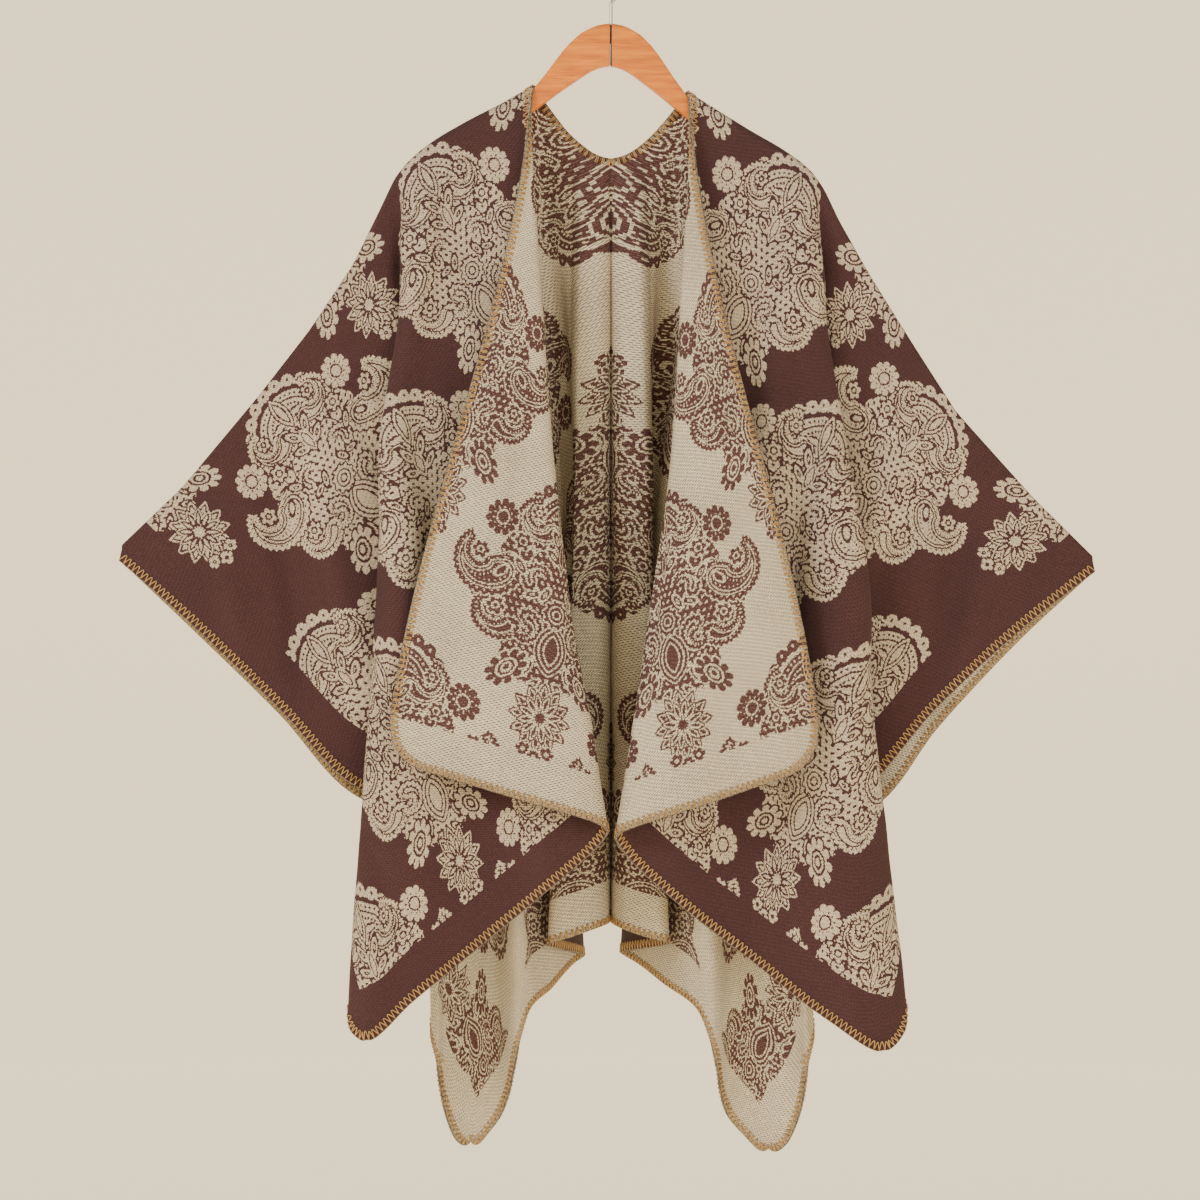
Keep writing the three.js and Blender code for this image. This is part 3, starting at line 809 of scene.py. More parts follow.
class Graph:
    """The nodes of one material."""

    def __init__(self, name: str) -> None:
        """Starts a material with its shader and output.

        Args:
            name: the material's name.
        """
        self.material = bpy.data.materials.new(name)
        self.material.use_nodes = True
        self.tree = self.material.node_tree
        self.shader = self.tree.nodes["Principled BSDF"]

    def link(self, given: Any, target: bpy.types.NodeSocket) -> None:
        """Links a value or socket to an input, or sets a plain number on it.

        Args:
            given: a Value, a socket, or what a socket may hold.
            target: the input.
        """
        if isinstance(given, Value):
            given = given.socket
        if isinstance(given, bpy.types.NodeSocket):
            self.tree.links.new(given, target)
        else:
            target.default_value = given

    def paint(self, colour: bpy.types.NodeSocket) -> None:
        """Gives the shader its base colour."""
        self.link(colour, self.shader.inputs["Base Color"])

    def node(self, kind: str, settings: dict[str, Any],
             inputs: dict[str | int, Any]) -> bpy.types.Node:
        """Adds a node.

        Args:
            kind: its type.
            settings: its own settings, set first.
            inputs: values or links, by the name or number of its sockets.

        Returns:
            The node.
        """
        made = self.tree.nodes.new(kind)
        for name, setting in settings.items():
            setattr(made, name, setting)
        for key, given in inputs.items():
            self.link(given, made.inputs[key])
        return made

    def math(self, operation: str, *operands: Operand) -> Value:
        """Adds one Math node on up to three numbers."""
        made = self.node("ShaderNodeMath", {"operation": operation}, dict(enumerate(operands)))
        return Value(self, made.outputs[0])

    def blend(self, share: Operand, low: Any, high: Any, way: str = "MIX") -> bpy.types.NodeSocket:
        """A colour between two.

        Args:
            share: 0 for the first and 1 for the second.
            low: the first colour, as numbers or a link.
            high: the second colour, as numbers or a link.
            way: MIX, or MULTIPLY for their product at share 1.

        Returns:
            The colour's socket.
        """
        made = self.node("ShaderNodeMix", {"data_type": "RGBA", "blend_type": way}, {0: share})
        for target, given in ((made.inputs["A"], low), (made.inputs["B"], high)):
            self.link((*given, 1.0) if isinstance(given, tuple) else given, target)
        return made.outputs["Result"]

    def parts(self, vector: bpy.types.NodeSocket) -> tuple[Value, Value, Value]:
        """The three numbers of a vector."""
        split = self.node("ShaderNodeSeparateXYZ", {}, {0: vector})
        return tuple(Value(self, split.outputs[k]) for k in range(3))

    def place(self) -> bpy.types.NodeSocket:
        """Place on the object, in metres."""
        return self.node("ShaderNodeTexCoord", {}, {}).outputs["Object"]

    def noise(self, vector: bpy.types.NodeSocket, scale: float, detail: float = 2.0,
              stretch: Axes = (1, 1, 1)) -> Value:
        """Smooth noise from 0 to 1.

        Args:
            vector: where it is read.
            scale: waves in a metre.
            detail: finer octaves.
            stretch: how much denser it is along each axis.

        Returns:
            The noise.
        """
        if stretch != (1, 1, 1):
            vector = self.node("ShaderNodeMapping", {}, {0: vector, "Scale": stretch}).outputs[0]
        made = self.node(
            "ShaderNodeTexNoise", {}, {"Vector": vector, "Scale": scale, "Detail": detail})
        return Value(self, made.outputs["Fac"])

    def bump(self, height: Value, depth: float, strength: float) -> None:
        """Lets a height raise the surface.

        Args:
            height: the height, from 0 to 1.
            depth: how far 1 raises it, in metres.
            strength: how much of it shows.
        """
        made = self.node("ShaderNodeBump", {},
                         {"Height": height, "Distance": depth, "Strength": strength})
        self.link(made.outputs[0], self.shader.inputs["Normal"])

    def constants(self, **values: Any) -> None:
        """Sets plain numbers on the shader's own sockets, by their names with _ for a space."""
        for name, value in values.items():
            self.shader.inputs[name.replace("_", " ").title()].default_value = value


class Roundel(NamedTuple):
    """An oval with petals: its middle, half sizes and turn, the petals, beads and ring depths."""

    centre: Pair
    size: Pair
    degrees: float
    petals: int
    petal: float
    beads: float
    rings: tuple[float, ...]


class Curl(NamedTuple):
    """A paisley along an arc, from its thin tip at start round to its thick head."""

    centre: Pair
    radius: float
    thin: float
    thick: float
    start: float
    sweep: float
    pitch: float
    bead: float
    lines: tuple[float, ...]


class Oval(NamedTuple):
    """A plain oval: its middle, half sizes and turn."""

    centre: Pair
    size: Pair
    degrees: float


@dataclass
class Pen:
    """Draws forms with distances in millimetres, below 0 on the motif.

    x runs outward from the medallion's middle and is never negative, y runs down, and both are 0
    at its ring. Each form is laid over the ones before it with a bare line round it.
    """

    x: Value
    y: Value
    ink: Value | None = None
    moat: float = 1.5
    bead_inset: float = 2.8
    petal_bead_inset: float = 3.1
    inner_inset: float = 12.4

    def turned(self, centre: Pair, degrees: float, size: Pair = (1.0, 1.0)) -> tuple[Value, Value]:
        """Coordinates about a centre, turned and measured in half sizes.

        Args:
            centre: the new origin.
            degrees: the turn.
            size: half width and half height.

        Returns:
            The two new coordinates.
        """
        c, s = math.cos(math.radians(degrees)), math.sin(math.radians(degrees))
        a, b = size
        x, y = self.x, self.y
        ahead = x.scaled(c / a, y.scaled(s / a, -(centre[0] * c + centre[1] * s) / a))
        aside = x.scaled(-s / b, y.scaled(c / b, (centre[0] * s - centre[1] * c) / b))
        return ahead, aside

    def over(self, body: Value, drawn: Value) -> None:
        """Lays one more form over the ink, inside a bare line."""
        self.ink = self.ink.max(self.moat - body).min(drawn)

    def ovals(self, forms: Sequence[Oval]) -> Value:
        """Distance to the nearest oval's edge, below 0 inside.

        Args:
            forms: the ovals.

        Returns:
            The distance.
        """
        nearest = None
        for form in forms:
            ahead, aside = self.turned(form.centre, form.degrees, form.size)
            edge = ahead.hypot(aside).scaled(min(form.size), -min(form.size))
            nearest = edge if nearest is None else nearest.min(edge)
        return nearest

    @staticmethod
    def leaf(across: Value, ahead: Value, half_length: float, half_width: float) -> Value:
        """Distance to the edge of a pointed leaf, below 0 inside."""
        radius = (half_length**2 + half_width**2) / (2 * half_width)
        return (across + (radius - half_width)).hypot(ahead) - radius

    @staticmethod
    def line(body: Value, depth: float, half: float = 0.85) -> Value:
        """A bare line that follows a form's edge at a depth."""
        return half - (body + depth).abs()

    def roundel(self, form: Roundel) -> None:
        """Lays an oval with petals round it, a row of bare beads and bare rings inside.

        Args:
            form: its places and sizes.
        """
        ahead, aside = self.turned(form.centre, form.degrees, form.size)
        body = ahead.hypot(aside).scaled(min(form.size), -min(form.size))
        beat = aside.atan2(ahead).ping(math.pi / form.petals) * (sum(form.size) / 2)
        edge = body.min((body - form.petal * 0.4).hypot(beat) - form.petal)
        drawn = edge
        if form.beads:
            drawn = drawn.max(form.beads - (body + self.petal_bead_inset).hypot(beat))
        for depth in form.rings:
            drawn = drawn.max(self.line(body, depth))
        self.over(edge, drawn)

    def curl(self, form: Curl) -> None:
        """Lays a paisley that grows along an arc from its thin tip to its round head.

        Args:
            form: its places and sizes.
        """
        ahead, aside = self.turned(form.centre, form.start + 180)
        turn = math.radians(form.sweep)
        angle = aside.atan2(ahead) + math.pi
        width = (angle * (1 / turn)).min(1.0).scaled(form.thick - form.thin, form.thin)
        past = (angle - turn).max(0.0) * form.radius
        body = (ahead.hypot(aside) - form.radius).hypot(past) - width
        beat = (angle * (form.radius + form.thick * 0.5)).ping(form.pitch / 2)
        edge = body.min(body.hypot(beat) - form.bead)
        drawn = edge.max(1.0 - (body + self.bead_inset).hypot(beat))
        if form.thick > self.inner_inset:
            drawn = drawn.max(1.0 - (body + self.inner_inset).hypot(beat * 0.8))
        for depth in form.lines:
            drawn = drawn.max(self.line(body, depth, 0.8))
        self.over(edge, drawn)

    def lay(self, forms: Sequence[Roundel | Curl]) -> None:
        """Lays forms over the ink, one after another."""
        for form in forms:
            lay_one = self.roundel if isinstance(form, Roundel) else self.curl
            lay_one(form)


@dataclass(frozen=True)
class Medallion:
    """Paisley medallion: a netted ground, a fan over it, paisleys and roundels, and a pendant."""

    lattice: Pair = (3.3, 2.9)
    hole: float = 1.5
    scallop: float = 3.2
    netting: tuple[Oval, ...] = (
        Oval((34, -38), (34, 40), 12),
        Oval((24, 40), (27, 37), 20),
        Oval((0, 4), (34, 40), 0),
        Oval((54, -4), (33, 30), -30),
        Oval((0, -62), (30, 34), 0),
        Oval((0, 76), (20, 20), 0),
    )
    fan_middle: float = 78
    fan_radius: float = 40.0
    fan_pitch: float = math.radians(18)
    fan_bite: Pair = (34, 37.0)
    bloom_row: float = 48.5
    bloom: float = 6.2
    bud_row: float = 46.5
    bud: float = 3.0
    fan_forms: tuple[Roundel | Curl, ...] = (
        Curl((31, -88), 17.5, 2.4, 13.0, -84, 232, 5.2, 1.8, (4.6, 7.6)),
        Roundel((35, -93), (4.6, 4.6), 0, 6, 1.8, 0, (2.2,)),
    )
    fan_leaves: tuple[Oval, ...] = (
        Oval((9.0, -72), (10.0, 4.2), -58),
        Oval((12.0, -55), (9.0, 3.8), -35),
    )
    outer_forms: tuple[Roundel | Curl, ...] = (
        Curl((58, 12), 19, 2.2, 9.5, -28, 165, 5.0, 1.9, (5.0,)),
        Roundel((60, 8), (6, 6), 0, 6, 2.0, 0, (2.9,)),
        Curl((80, -37), 22, 3.6, 18.5, -52, 200, 6.0, 2.1, (5.2, 8.6)),
        Roundel((84, -41), (5.6, 5.6), 0, 6, 2.0, 0, (2.7,)),
    )
    bare_leaf: Oval = Oval((61, -27), (8.0, 3.6), 50)
    sprig_curl: Curl = Curl((24, -30), 9.5, 1.6, 6.2, 190, 205, 4.4, 1.5, (3.6,))
    sprig_leaves: tuple[Oval, ...] = (
        Oval((15, -16), (7.0, 3.0), 62),
        Oval((27, -13), (6.6, 2.8), 20),
        Oval((43, -37), (7.6, 3.2), -48),
        Oval((20, 58), (8.0, 3.4), 70),
        Oval((13, 74), (7.4, 3.2), 50),
    )
    inner_forms: tuple[Roundel | Curl, ...] = (
        Curl((29, 21), 10.5, 1.6, 7.2, 40, 215, 4.6, 1.6, (4.2,)),
        Roundel((70, -78), (12, 13.5), -18, 11, 3.2, 1.1, (6.0,)),
        Roundel((45, -61), (6.4, 6.4), 0, 6, 1.8, 0, (3.0,)),
        Roundel((39, 64), (16.5, 9.5), 48, 10, 3.2, 0, (2.8, 6.2)),
    )
    ring: Roundel = Roundel((0, 0), (12, 12), 0, 10, 1.6, 0, (3.6, 8.0))
    pendant_middle: float = 104
    pendant_stretch: float = 0.86
    pendant_pitch: float = math.radians(30)
    long_leaf_middle: float = 19.0
    short_leaf_middle: float = 12.5
    florets: tuple[Roundel, ...] = (
        Roundel((11.0, 137), (3.8, 3.8), 0, 5, 2.1, 0, (2.4,)),
        Roundel((0.0, 143), (3.8, 3.8), 0, 5, 2.1, 0, (2.4,)),
    )

    def lace(self, pen: Pen) -> None:
        """Draws the netted ground that ties the forms together.

        Args:
            pen: a pen at its place.
        """
        x, y = pen.x, pen.y
        across = x.scaled(1.0, y * 0.5).ping(self.lattice[0])
        down = (y * 0.87).ping(self.lattice[1])
        scallop = x.scaled(0.9, y * 0.4).ping(self.scallop)
        pen.ink = (pen.ovals(self.netting) + scallop).max(self.hole - across.hypot(down))

    def crown(self, pen: Pen) -> None:
        """Draws a netted fan with blooms and buds round it, and two paisleys and leaves over it.

        Args:
            pen: a pen at its place.
        """
        x, y, pitch = pen.x, pen.y, self.fan_pitch
        radius = x.hypot(y + self.fan_middle)
        angle = (y + self.fan_middle).atan2(x)
        rim = 46.0
        bloom_beat = angle.ping(pitch / 2) * rim
        bloom = (radius - self.bloom_row).hypot(bloom_beat) - self.bloom
        bud_beat = (angle + pitch / 2).ping(pitch / 2) * rim
        bud = (radius - self.bud_row).hypot(bud_beat) - self.bud
        bite = self.fan_bite[1] - x.hypot(y + self.fan_bite[0])
        body = (radius - self.fan_radius).min(bloom).min(bud).max(bite)
        fine = angle.ping(pitch / 4)
        drawn = body.max(1.5 - (radius - 49.0).hypot(bloom_beat))
        for stripe, half in ((39.6, 1.05), (30.6, 0.95)):
            drawn = drawn.max(half - (radius - stripe).abs())
        for row, bead, spread in ((35.0, 1.25, 34.0), (25.0, 1.3, 25.0)):
            drawn = drawn.max(bead - (radius - row).hypot(fine * spread))
        pen.over(body, drawn)
        pen.lay(self.fan_forms)
        core = pen.leaf(x, y + 100, 19.0, 7.0)
        side = pen.ovals(self.fan_leaves).min(pen.leaf(x, y + 58, 15.0, 6.2))
        pen.over(side, side.max(pen.line(side, 2.6, 0.6)))
        pen.over(core, core.max(pen.line(core, 3.0, 0.8)))

    def sprig(self, pen: Pen) -> None:
        """Draws a small paisley with leaves on a stalk beside it.

        Args:
            pen: a pen at its place.
        """
        pen.curl(self.sprig_curl)
        leaves = pen.ovals(self.sprig_leaves)
        pen.over(leaves, leaves.max(pen.line(leaves, 2.0, 0.5)))

    def pendant(self, pen: Pen) -> None:
        """Draws a tuft of outlined leaves with florets under it.

        Args:
            pen: a pen at its place.
        """
        lower = pen.y.scaled(self.pendant_stretch, -self.pendant_middle * self.pendant_stretch)
        radius = pen.x.hypot(lower)
        angle = pen.x.atan2(lower)
        pitch, middle = self.pendant_pitch, self.long_leaf_middle
        long_leaf = pen.leaf(angle.ping(pitch / 2) * radius, radius - middle, 11.5, 5.2)
        short_beat = (angle + pitch / 2).ping(pitch / 2) * radius
        short_leaf = pen.leaf(short_beat, radius - self.short_leaf_middle, 10.5, 4.4)
        outline = long_leaf.max(-1.7 - long_leaf).min(long_leaf + 3.3)
        inner = short_leaf.max(-1.5 - short_leaf).min(short_leaf + 3.0)
        drawn = outline.max(0.9 - short_leaf).min(inner)
        drawn = drawn.min((radius - 18.0).max(1.2 - long_leaf).max(1.2 - short_leaf))
        drawn = drawn.min(radius - 3.6)
        pen.over(long_leaf.min(short_leaf).min(radius - 18.0), drawn)
        pen.lay(self.florets)

    def draw(self, x: Value, y: Value) -> Value:
        """The whole medallion.

        Args:
            x: outward from its middle.
            y: down from its ring.

        Returns:
            A number below 0 on the motif.
        """
        pen = Pen(x, y)
        self.lace(pen)
        self.crown(pen)
        pen.lay(self.outer_forms)
        pen.ink = pen.ink.max(pen.line(pen.ovals((self.bare_leaf,)), 0.0))
        self.sprig(pen)
        pen.lay(self.inner_forms)
        core = pen.leaf(x, y - 36, 25.0, 15.5)
        pen.over(core, core.max(pen.line(core, 3.6, 0.95)).max(pen.line(core, 8.2)))
        pen.roundel(self.ring)
        self.pendant(pen)
        return pen.ink


@dataclass(frozen=True)
class ClothFinish:
    """One face of the double-faced cloth: its ground and motif colours, and its twill."""

    name: str
    ground: Colour
    ground_line: Colour
    motif: Colour
    motif_line: Colour
    thread: float = 1.15
    column_pitch: float = 142.0
    row_pitch: float = 375.0
    first_row: float = -54.5
    border: float = 44.0
    twill: float = 2.2
    lean: float = math.radians(30)
    rib_share: float = 0.46
    dash: float = 4.6
    dash_share: float = 0.72
    dash_step: float = 0.37
    fuzz_scale: float = 640
    fuzz_cut: float = 0.40
    cloud_scale: float = 14
    shade_low: Colour = (0.60, 0.58, 0.57)
    shade_high: Colour = (1.26, 1.26, 1.26)
    relief_scale: float = 800
    relief_depth: float = 0.0006
    relief_strength: float = 0.6
    roughness: float = 0.92
    sheen: float = 0.03
    sheen_roughness: float = 0.5

    def medallion_ink(self, across: Value, down: Value) -> Value:
        """Where the nearest medallion's motif lies.

        Args:
            across: distance from the middle line, in millimetres.
            down: distance down the front, or up the back below 0.

        Returns:
            1 on the motif and 0 on the ground.
        """
        pitch, drop = self.column_pitch, self.row_pitch / 2
        x_one = across.scaled(1.0, pitch).wrap(0, 2 * pitch).scaled(1.0, -pitch).abs()
        y_one = down.scaled(1.0, -self.first_row).wrap(-drop, drop)
        x_two = pitch - x_one
        y_two = (y_one + drop).wrap(-drop, drop)

        def reach(y: Value) -> Value:
            """About how wide a medallion is at a height."""
            return ((y + 15).abs() - 25).max(0.0).scaled(-0.7, 106.0)

        second = (x_one - reach(y_one)) > (x_two - reach(y_two))
        x = x_one + (x_two - x_one) * second
        y = y_one + (y_two - y_one) * second
        return Medallion().draw(x, y) < 0.0

    def build(self) -> bpy.types.Material:
        """The face's material, drawn on the flat-cut map.

        Returns:
            The material.
        """
        graph = Graph(self.name)
        flat = graph.node("ShaderNodeUVMap", {"uv_map": "FlatCut"}, {})
        u, v, _ = graph.parts(flat.outputs[0])
        across, down = (u * 1000.0).abs(), v * 1000.0
        half = self.thread / 2
        woven = self.medallion_ink(
            across.snap(self.thread) + half, down.snap(self.thread) + half)
        inside = (across < CLOTH_HALF_WIDTH - self.border) * (
            down < FRONT_LENGTH - self.border) * (down > self.border - BACK_LENGTH)
        ink = woven * inside
        level, rise = math.cos(self.lean), math.sin(self.lean)
        ribs = u.scaled(-rise * 1000, down * level) * (1 / self.twill)
        dashes = u.scaled(level * 1000, down * rise) * (1 / self.dash) + ribs * self.dash_step
        rib, dash = ribs.fraction(), dashes.fraction()
        place = graph.place()
        fuzz = graph.noise(place, self.fuzz_scale, 1.5)
        cloud = graph.noise(place, self.cloud_scale, 1)
        line = (rib < self.rib_share) * (dash < self.dash_share) * (fuzz > self.fuzz_cut)
        ground = graph.blend(line, self.ground, self.ground_line)
        motif = graph.blend(line, self.motif, self.motif_line)
        shade = graph.blend((fuzz * 1.7).scaled(1.0, cloud * 0.5).scaled(1.1, -0.72),
                            self.shade_low, self.shade_high)
        graph.paint(graph.blend(1.0, graph.blend(ink, ground, motif), shade, "MULTIPLY"))
        relief = (rib.ping(0.5) * 1.1).scaled(1.0, graph.noise(place, self.relief_scale, 0))
        graph.bump(relief, self.relief_depth, self.relief_strength)
        graph.constants(roughness=self.roughness, sheen_weight=self.sheen,
                        sheen_roughness=self.sheen_roughness)
        return graph.material


OUTER_FACE = ClothFinish(
    "ruana_outer", (0.064, 0.0225, 0.0262), (0.036, 0.0125, 0.0150),
    (0.60, 0.51, 0.40), (0.35, 0.27, 0.205), dash_share=0.5)
INNER_FACE = ClothFinish(
    "ruana_inner", (0.75, 0.665, 0.51), (0.155, 0.145, 0.125),
    (0.074, 0.0265, 0.029), (0.15, 0.08, 0.068))


@dataclass(frozen=True)
class ThreadFinish:
    """Sewing thread with slightly uneven colour."""

    name: str
    light: Colour
    dark: Colour
    roughness: float = 0.75
    fleck_scale: float = 420

    def build(self) -> bpy.types.Material:
        """The thread's material.

        Returns:
            The material.
        """
        graph = Graph(self.name)
        tone = graph.noise(graph.place(), self.fleck_scale, 2)
        graph.paint(graph.blend(tone.scaled(2.2, -0.6), self.dark, self.light))
        graph.constants(roughness=self.roughness)
        return graph.material


TAN_THREAD = ThreadFinish("tan_thread", (0.58, 0.36, 0.15), (0.30, 0.175, 0.07))
DARK_THREAD = ThreadFinish("edge_yarn", (0.33, 0.28, 0.22), (0.020, 0.016, 0.015))


@dataclass(frozen=True)
class WoodFinish:
    """Clear-varnished wood with grain along the arm, and a glue line at the middle."""

    name: str = "varnished_wood"
    pale: Colour = (0.93, 0.28, 0.012)
    deep: Colour = (0.58, 0.13, 0.006)
    glue: Colour = (0.05, 0.022, 0.01)
    grain_scale: float = 60
    grain_stretch: Axes = (0.35, 6.0, 3.0)
    pore_scale: float = 240
    pore_stretch: Axes = (0.12, 4.0, 4.0)
    pore_cut: float = 0.6
    pore_depth: float = 0.0002
    roughness: float = 0.5
    coat: float = 0.12
    coat_roughness: float = 0.2

    def build(self) -> bpy.types.Material:
        """The wood's material.

        Returns:
            The material.
        """
        graph = Graph(self.name)
        place = graph.place()
        grain = graph.noise(place, self.grain_scale, 4, self.grain_stretch)
        pores = graph.noise(place, self.pore_scale, 3, self.pore_stretch)
        share = grain.scaled(2.4, -0.75).max(0.0) + (pores > self.pore_cut) * 0.3
        across, _, _ = graph.parts(place)
        seam = across.abs().scaled(-2500.0, 3.2).max(0.0).min(1.0)
        wood = graph.blend(share.min(1.0), self.pale, self.deep)
        graph.paint(graph.blend(seam, wood, self.glue))
        graph.bump(pores, self.pore_depth, 0.25)
        graph.constants(roughness=self.roughness, coat_weight=self.coat,
                        coat_roughness=self.coat_roughness)
        return graph.material


@dataclass(frozen=True)
class SteelFinish:
    """Bright drawn wire."""

    name: str = "bright_wire"
    colour: Colour = (0.47, 0.465, 0.45)
    scratch_scale: float = 500

    def build(self) -> bpy.types.Material:
        """The wire's material.

        Returns:
            The material.
        """
        graph = Graph(self.name)
        drawn = graph.noise(graph.place(), self.scratch_scale, 2, (1, 1, 0.1))
        graph.link(drawn.scaled(0.16, 0.20), graph.shader.inputs["Roughness"])
        graph.constants(base_color=(*self.colour, 1), metallic=1.0)
        return graph.material


@dataclass(frozen=True)
class SweepFinish:
    """One pale colour for the studio, with a light of its own that throws no shadows."""

    name: str = "pale_sweep"
    colour: Colour = (0.30, 0.25, 0.165)
    roughness: float = 0.9
    glow: float = 4.7

    def build(self) -> bpy.types.Material:
        """The sweep's material.

        Returns:
            The material.
        """
        graph = Graph(self.name)
        graph.constants(base_color=(*self.colour, 1), roughness=self.roughness,
                        emission_color=(*self.colour, 1), emission_strength=self.glow)
        graph.material.cycles.emission_sampling = "NONE"
        return graph.material


class EdgeRun(NamedTuple):
    """A run of the cloth's edge: its points, which way is out of the face, and which way is in."""

    points: Array
    outward: Array
    inward: Array


class Thread(NamedTuple):
    """A kind of thread in the stitch: its path, its tube and where its tubes go on the bake.

    offsets are in pitches along the edge, one list for each thread of a stitch, and depths are in
    millimetres in from the edge. way is 1 on the outer face and -1 on the inner one. sink is how
    far the thread is let down through the cloth.
    """

    offsets: tuple[tuple[float, ...], ...]
    depths: tuple[float, ...]
    radius: float
    way: int
    kind: int
    band: Pair
    sink: float = 0.0


@dataclass
class EdgeStitching:
    """Overcast thread round the cloth's edge: loops on one face, bars on the other, and a cord."""

    shell: ClothShell
    pitch: float = 5.6
    depth: float = 8.4
    bar_depth: float = 7.0
    loop_radius: float = 0.7
    bar_radius: float = 0.82
    speckle_radius: float = 0.6
    cord_radius: float = 1.15
    cord_step: float = 3.0
    sides: int = 4
    lying: float = 0.7
    search: float = 6.0
    hem_share: float = 0.86
    map_fill: float = 0.84
    vertices: list[Array] = field(default_factory=list)
    faces: list[Array] = field(default_factory=list)
    maps: list[Array] = field(default_factory=list)
    kinds: list[Array] = field(default_factory=list)
    total: int = 0

    def threads(self) -> list[Thread]:
        """The threads of one stitch.

        Returns:
            The loop on the outer face, two bars on the inner one, and the yarn between them.
        """
        loop = Thread(
            ((-0.05, 0.16, 0.34, 0.5, 0.64, 0.84, 1.0),),
            tuple(share * self.depth for share in (0.0, 0.55, 0.93, 1.0, 0.9, 0.45, 0.0)),
            self.loop_radius, 1, 0, (0.0, 0.48))
        bars = Thread(
            ((0.16,) * 3, (0.42,) * 3), tuple(share * self.bar_depth for share in (0, 0.5, 1)),
            self.bar_radius, -1, 0, (0.48, 0.80))
        speckle = Thread(
            ((0.78,) * 3,), tuple(share * self.bar_depth * 0.55 for share in (0, 0.5, 1)),
            self.speckle_radius, -1, 1, (0.80, 0.94))
        return [loop, bars, speckle]

    def runs(self) -> list[EdgeRun]:
        """The free edges of the stretch.

        Returns:
            The hem and side as one run, with the slit on a front, and the neckline on a back.
        """
        grid, out = self.shell.grid, self.shell.outward
        p = grid.points
        hem = EdgeRun(p[:, -1], out[:, -1], p[:, -3] - p[:, -1])
        if self.shell.stretch.facing is Facing.FRONT:
            slit = EdgeRun(p[0, :-1], out[0, :-1], p[2, :-1] - p[0, :-1])
            return [EdgeRun(*(np.concatenate(pair) for pair in zip(slit, hem)))]
        neck = ~grid.ridge
        return [hem, EdgeRun(p[neck, 0], out[neck, 0], p[neck, 2] - p[neck, 0])]

    def lay(self, run: EdgeRun, steps: Array, depths: Array, tree: BVHTree,
            thread: Thread) -> tuple[Array, Array]:
        """Thread paths that lie on one face of the cloth.

        Args:
            run: the edge.
            steps: distances along the edge of every point of every path.
            depths: how far in from the edge each point is.
            tree: the face.
            thread: the kind of thread.

        Returns:
            The points and the directions out of the cloth there.
        """
        stops = np.concatenate(
            ([0.0], np.cumsum(np.linalg.norm(np.diff(run.points, axis=0), axis=1))))
        tangent = np.gradient(run.points, axis=0)
        tangent /= np.linalg.norm(tangent, axis=1, keepdims=True)
        inward = run.inward - tangent * (run.inward * tangent).sum(axis=1, keepdims=True)
        inward /= np.linalg.norm(inward, axis=1, keepdims=True)

        def at(values: Array) -> Array:
            """The vectors of the edge, read at the steps."""
            return np.stack([np.interp(steps, stops, values[:, k]) for k in range(3)], axis=-1)

        out = at(run.outward) * thread.way
        out /= np.linalg.norm(out, axis=-1, keepdims=True)
        spot = at(run.points) + at(inward) * depths[..., None]
        spot = spot + out * (CLOTH_THICKNESS / 2)
        lifted = spot + out * thread.radius * self.lying
        for index in np.ndindex(*steps.shape):
            if depths[index] < 1.0:
                continue
            found, normal, _, _ = tree.find_nearest(Vector(spot[index]), self.search)
            if found is not None:
                normal = normal if normal.dot(Vector(out[index])) > 0 else -normal
                lifted[index] = np.array(found) + np.array(normal) * thread.radius * self.lying
        return lifted - out * thread.sink, out

    def add_tubes(self, paths: Array, out: Array, thread: Thread, band: Pair) -> None:
        """Adds closed tubes along paths that have the same number of points.

        Args:
            paths: one path after another.
            out: direction out of the cloth at every point.
            thread: the kind of thread.
            band: which part of the bake's width the tubes share.
        """
        count, steps = paths.shape[:2]
        tangent = np.gradient(paths, axis=1)
        tangent /= np.linalg.norm(tangent, axis=2, keepdims=True) + 1e-9
        side = np.cross(tangent, out)
        side /= np.linalg.norm(side, axis=2, keepdims=True) + 1e-9
        lift = np.cross(side, tangent)
        n = self.sides
        turns = 2 * math.pi * (np.arange(n) + 0.5) / n
        ring = (paths[:, :, None, :]
                + thread.radius * np.cos(turns)[:, None] * side[:, :, None, :]
                + thread.radius * np.sin(turns)[:, None] * lift[:, :, None, :])
        number = np.arange(count * steps * n).reshape(count, steps, n) + self.total
        after = np.roll(number, -1, axis=2)
        walls = np.stack(
            [number[:, :-1], after[:, :-1], after[:, 1:], number[:, 1:]], axis=-1).reshape(-1, 4)
        caps = np.concatenate([number[:, 0, ::-1], number[:, -1]])
        strip = (band[1] - band[0]) / count
        across = np.arange(count)[:, None, None] + (1 - self.map_fill) / 2
        left = band[0] + strip * (across + self.map_fill * np.arange(n)[None, None, :] / n)
        left = np.broadcast_to(left, (count, steps - 1, n))
        right = left + strip * self.map_fill / n
        bottom = np.broadcast_to(
            (0.004 + 0.992 * np.arange(steps - 1) / (steps - 1))[None, :, None], left.shape)
        top = bottom + 0.992 / (steps - 1)
        corners = ((left, bottom), (right, bottom), (right, top), (left, top))
        walls_map = np.stack(
            [np.stack(corner, -1) for corner in corners], axis=-2).reshape(-1, 4, 2)
        caps_map = np.broadcast_to(walls_map[0], (len(caps), 4, 2))
        self.vertices.append(ring.reshape(-1, 3))
        self.faces.append(np.concatenate([walls, caps]))
        self.maps.append(np.concatenate([walls_map, caps_map]))
        self.kinds.append(np.full(len(walls) + len(caps), thread.kind, np.int32))
        self.total += ring.size // 3

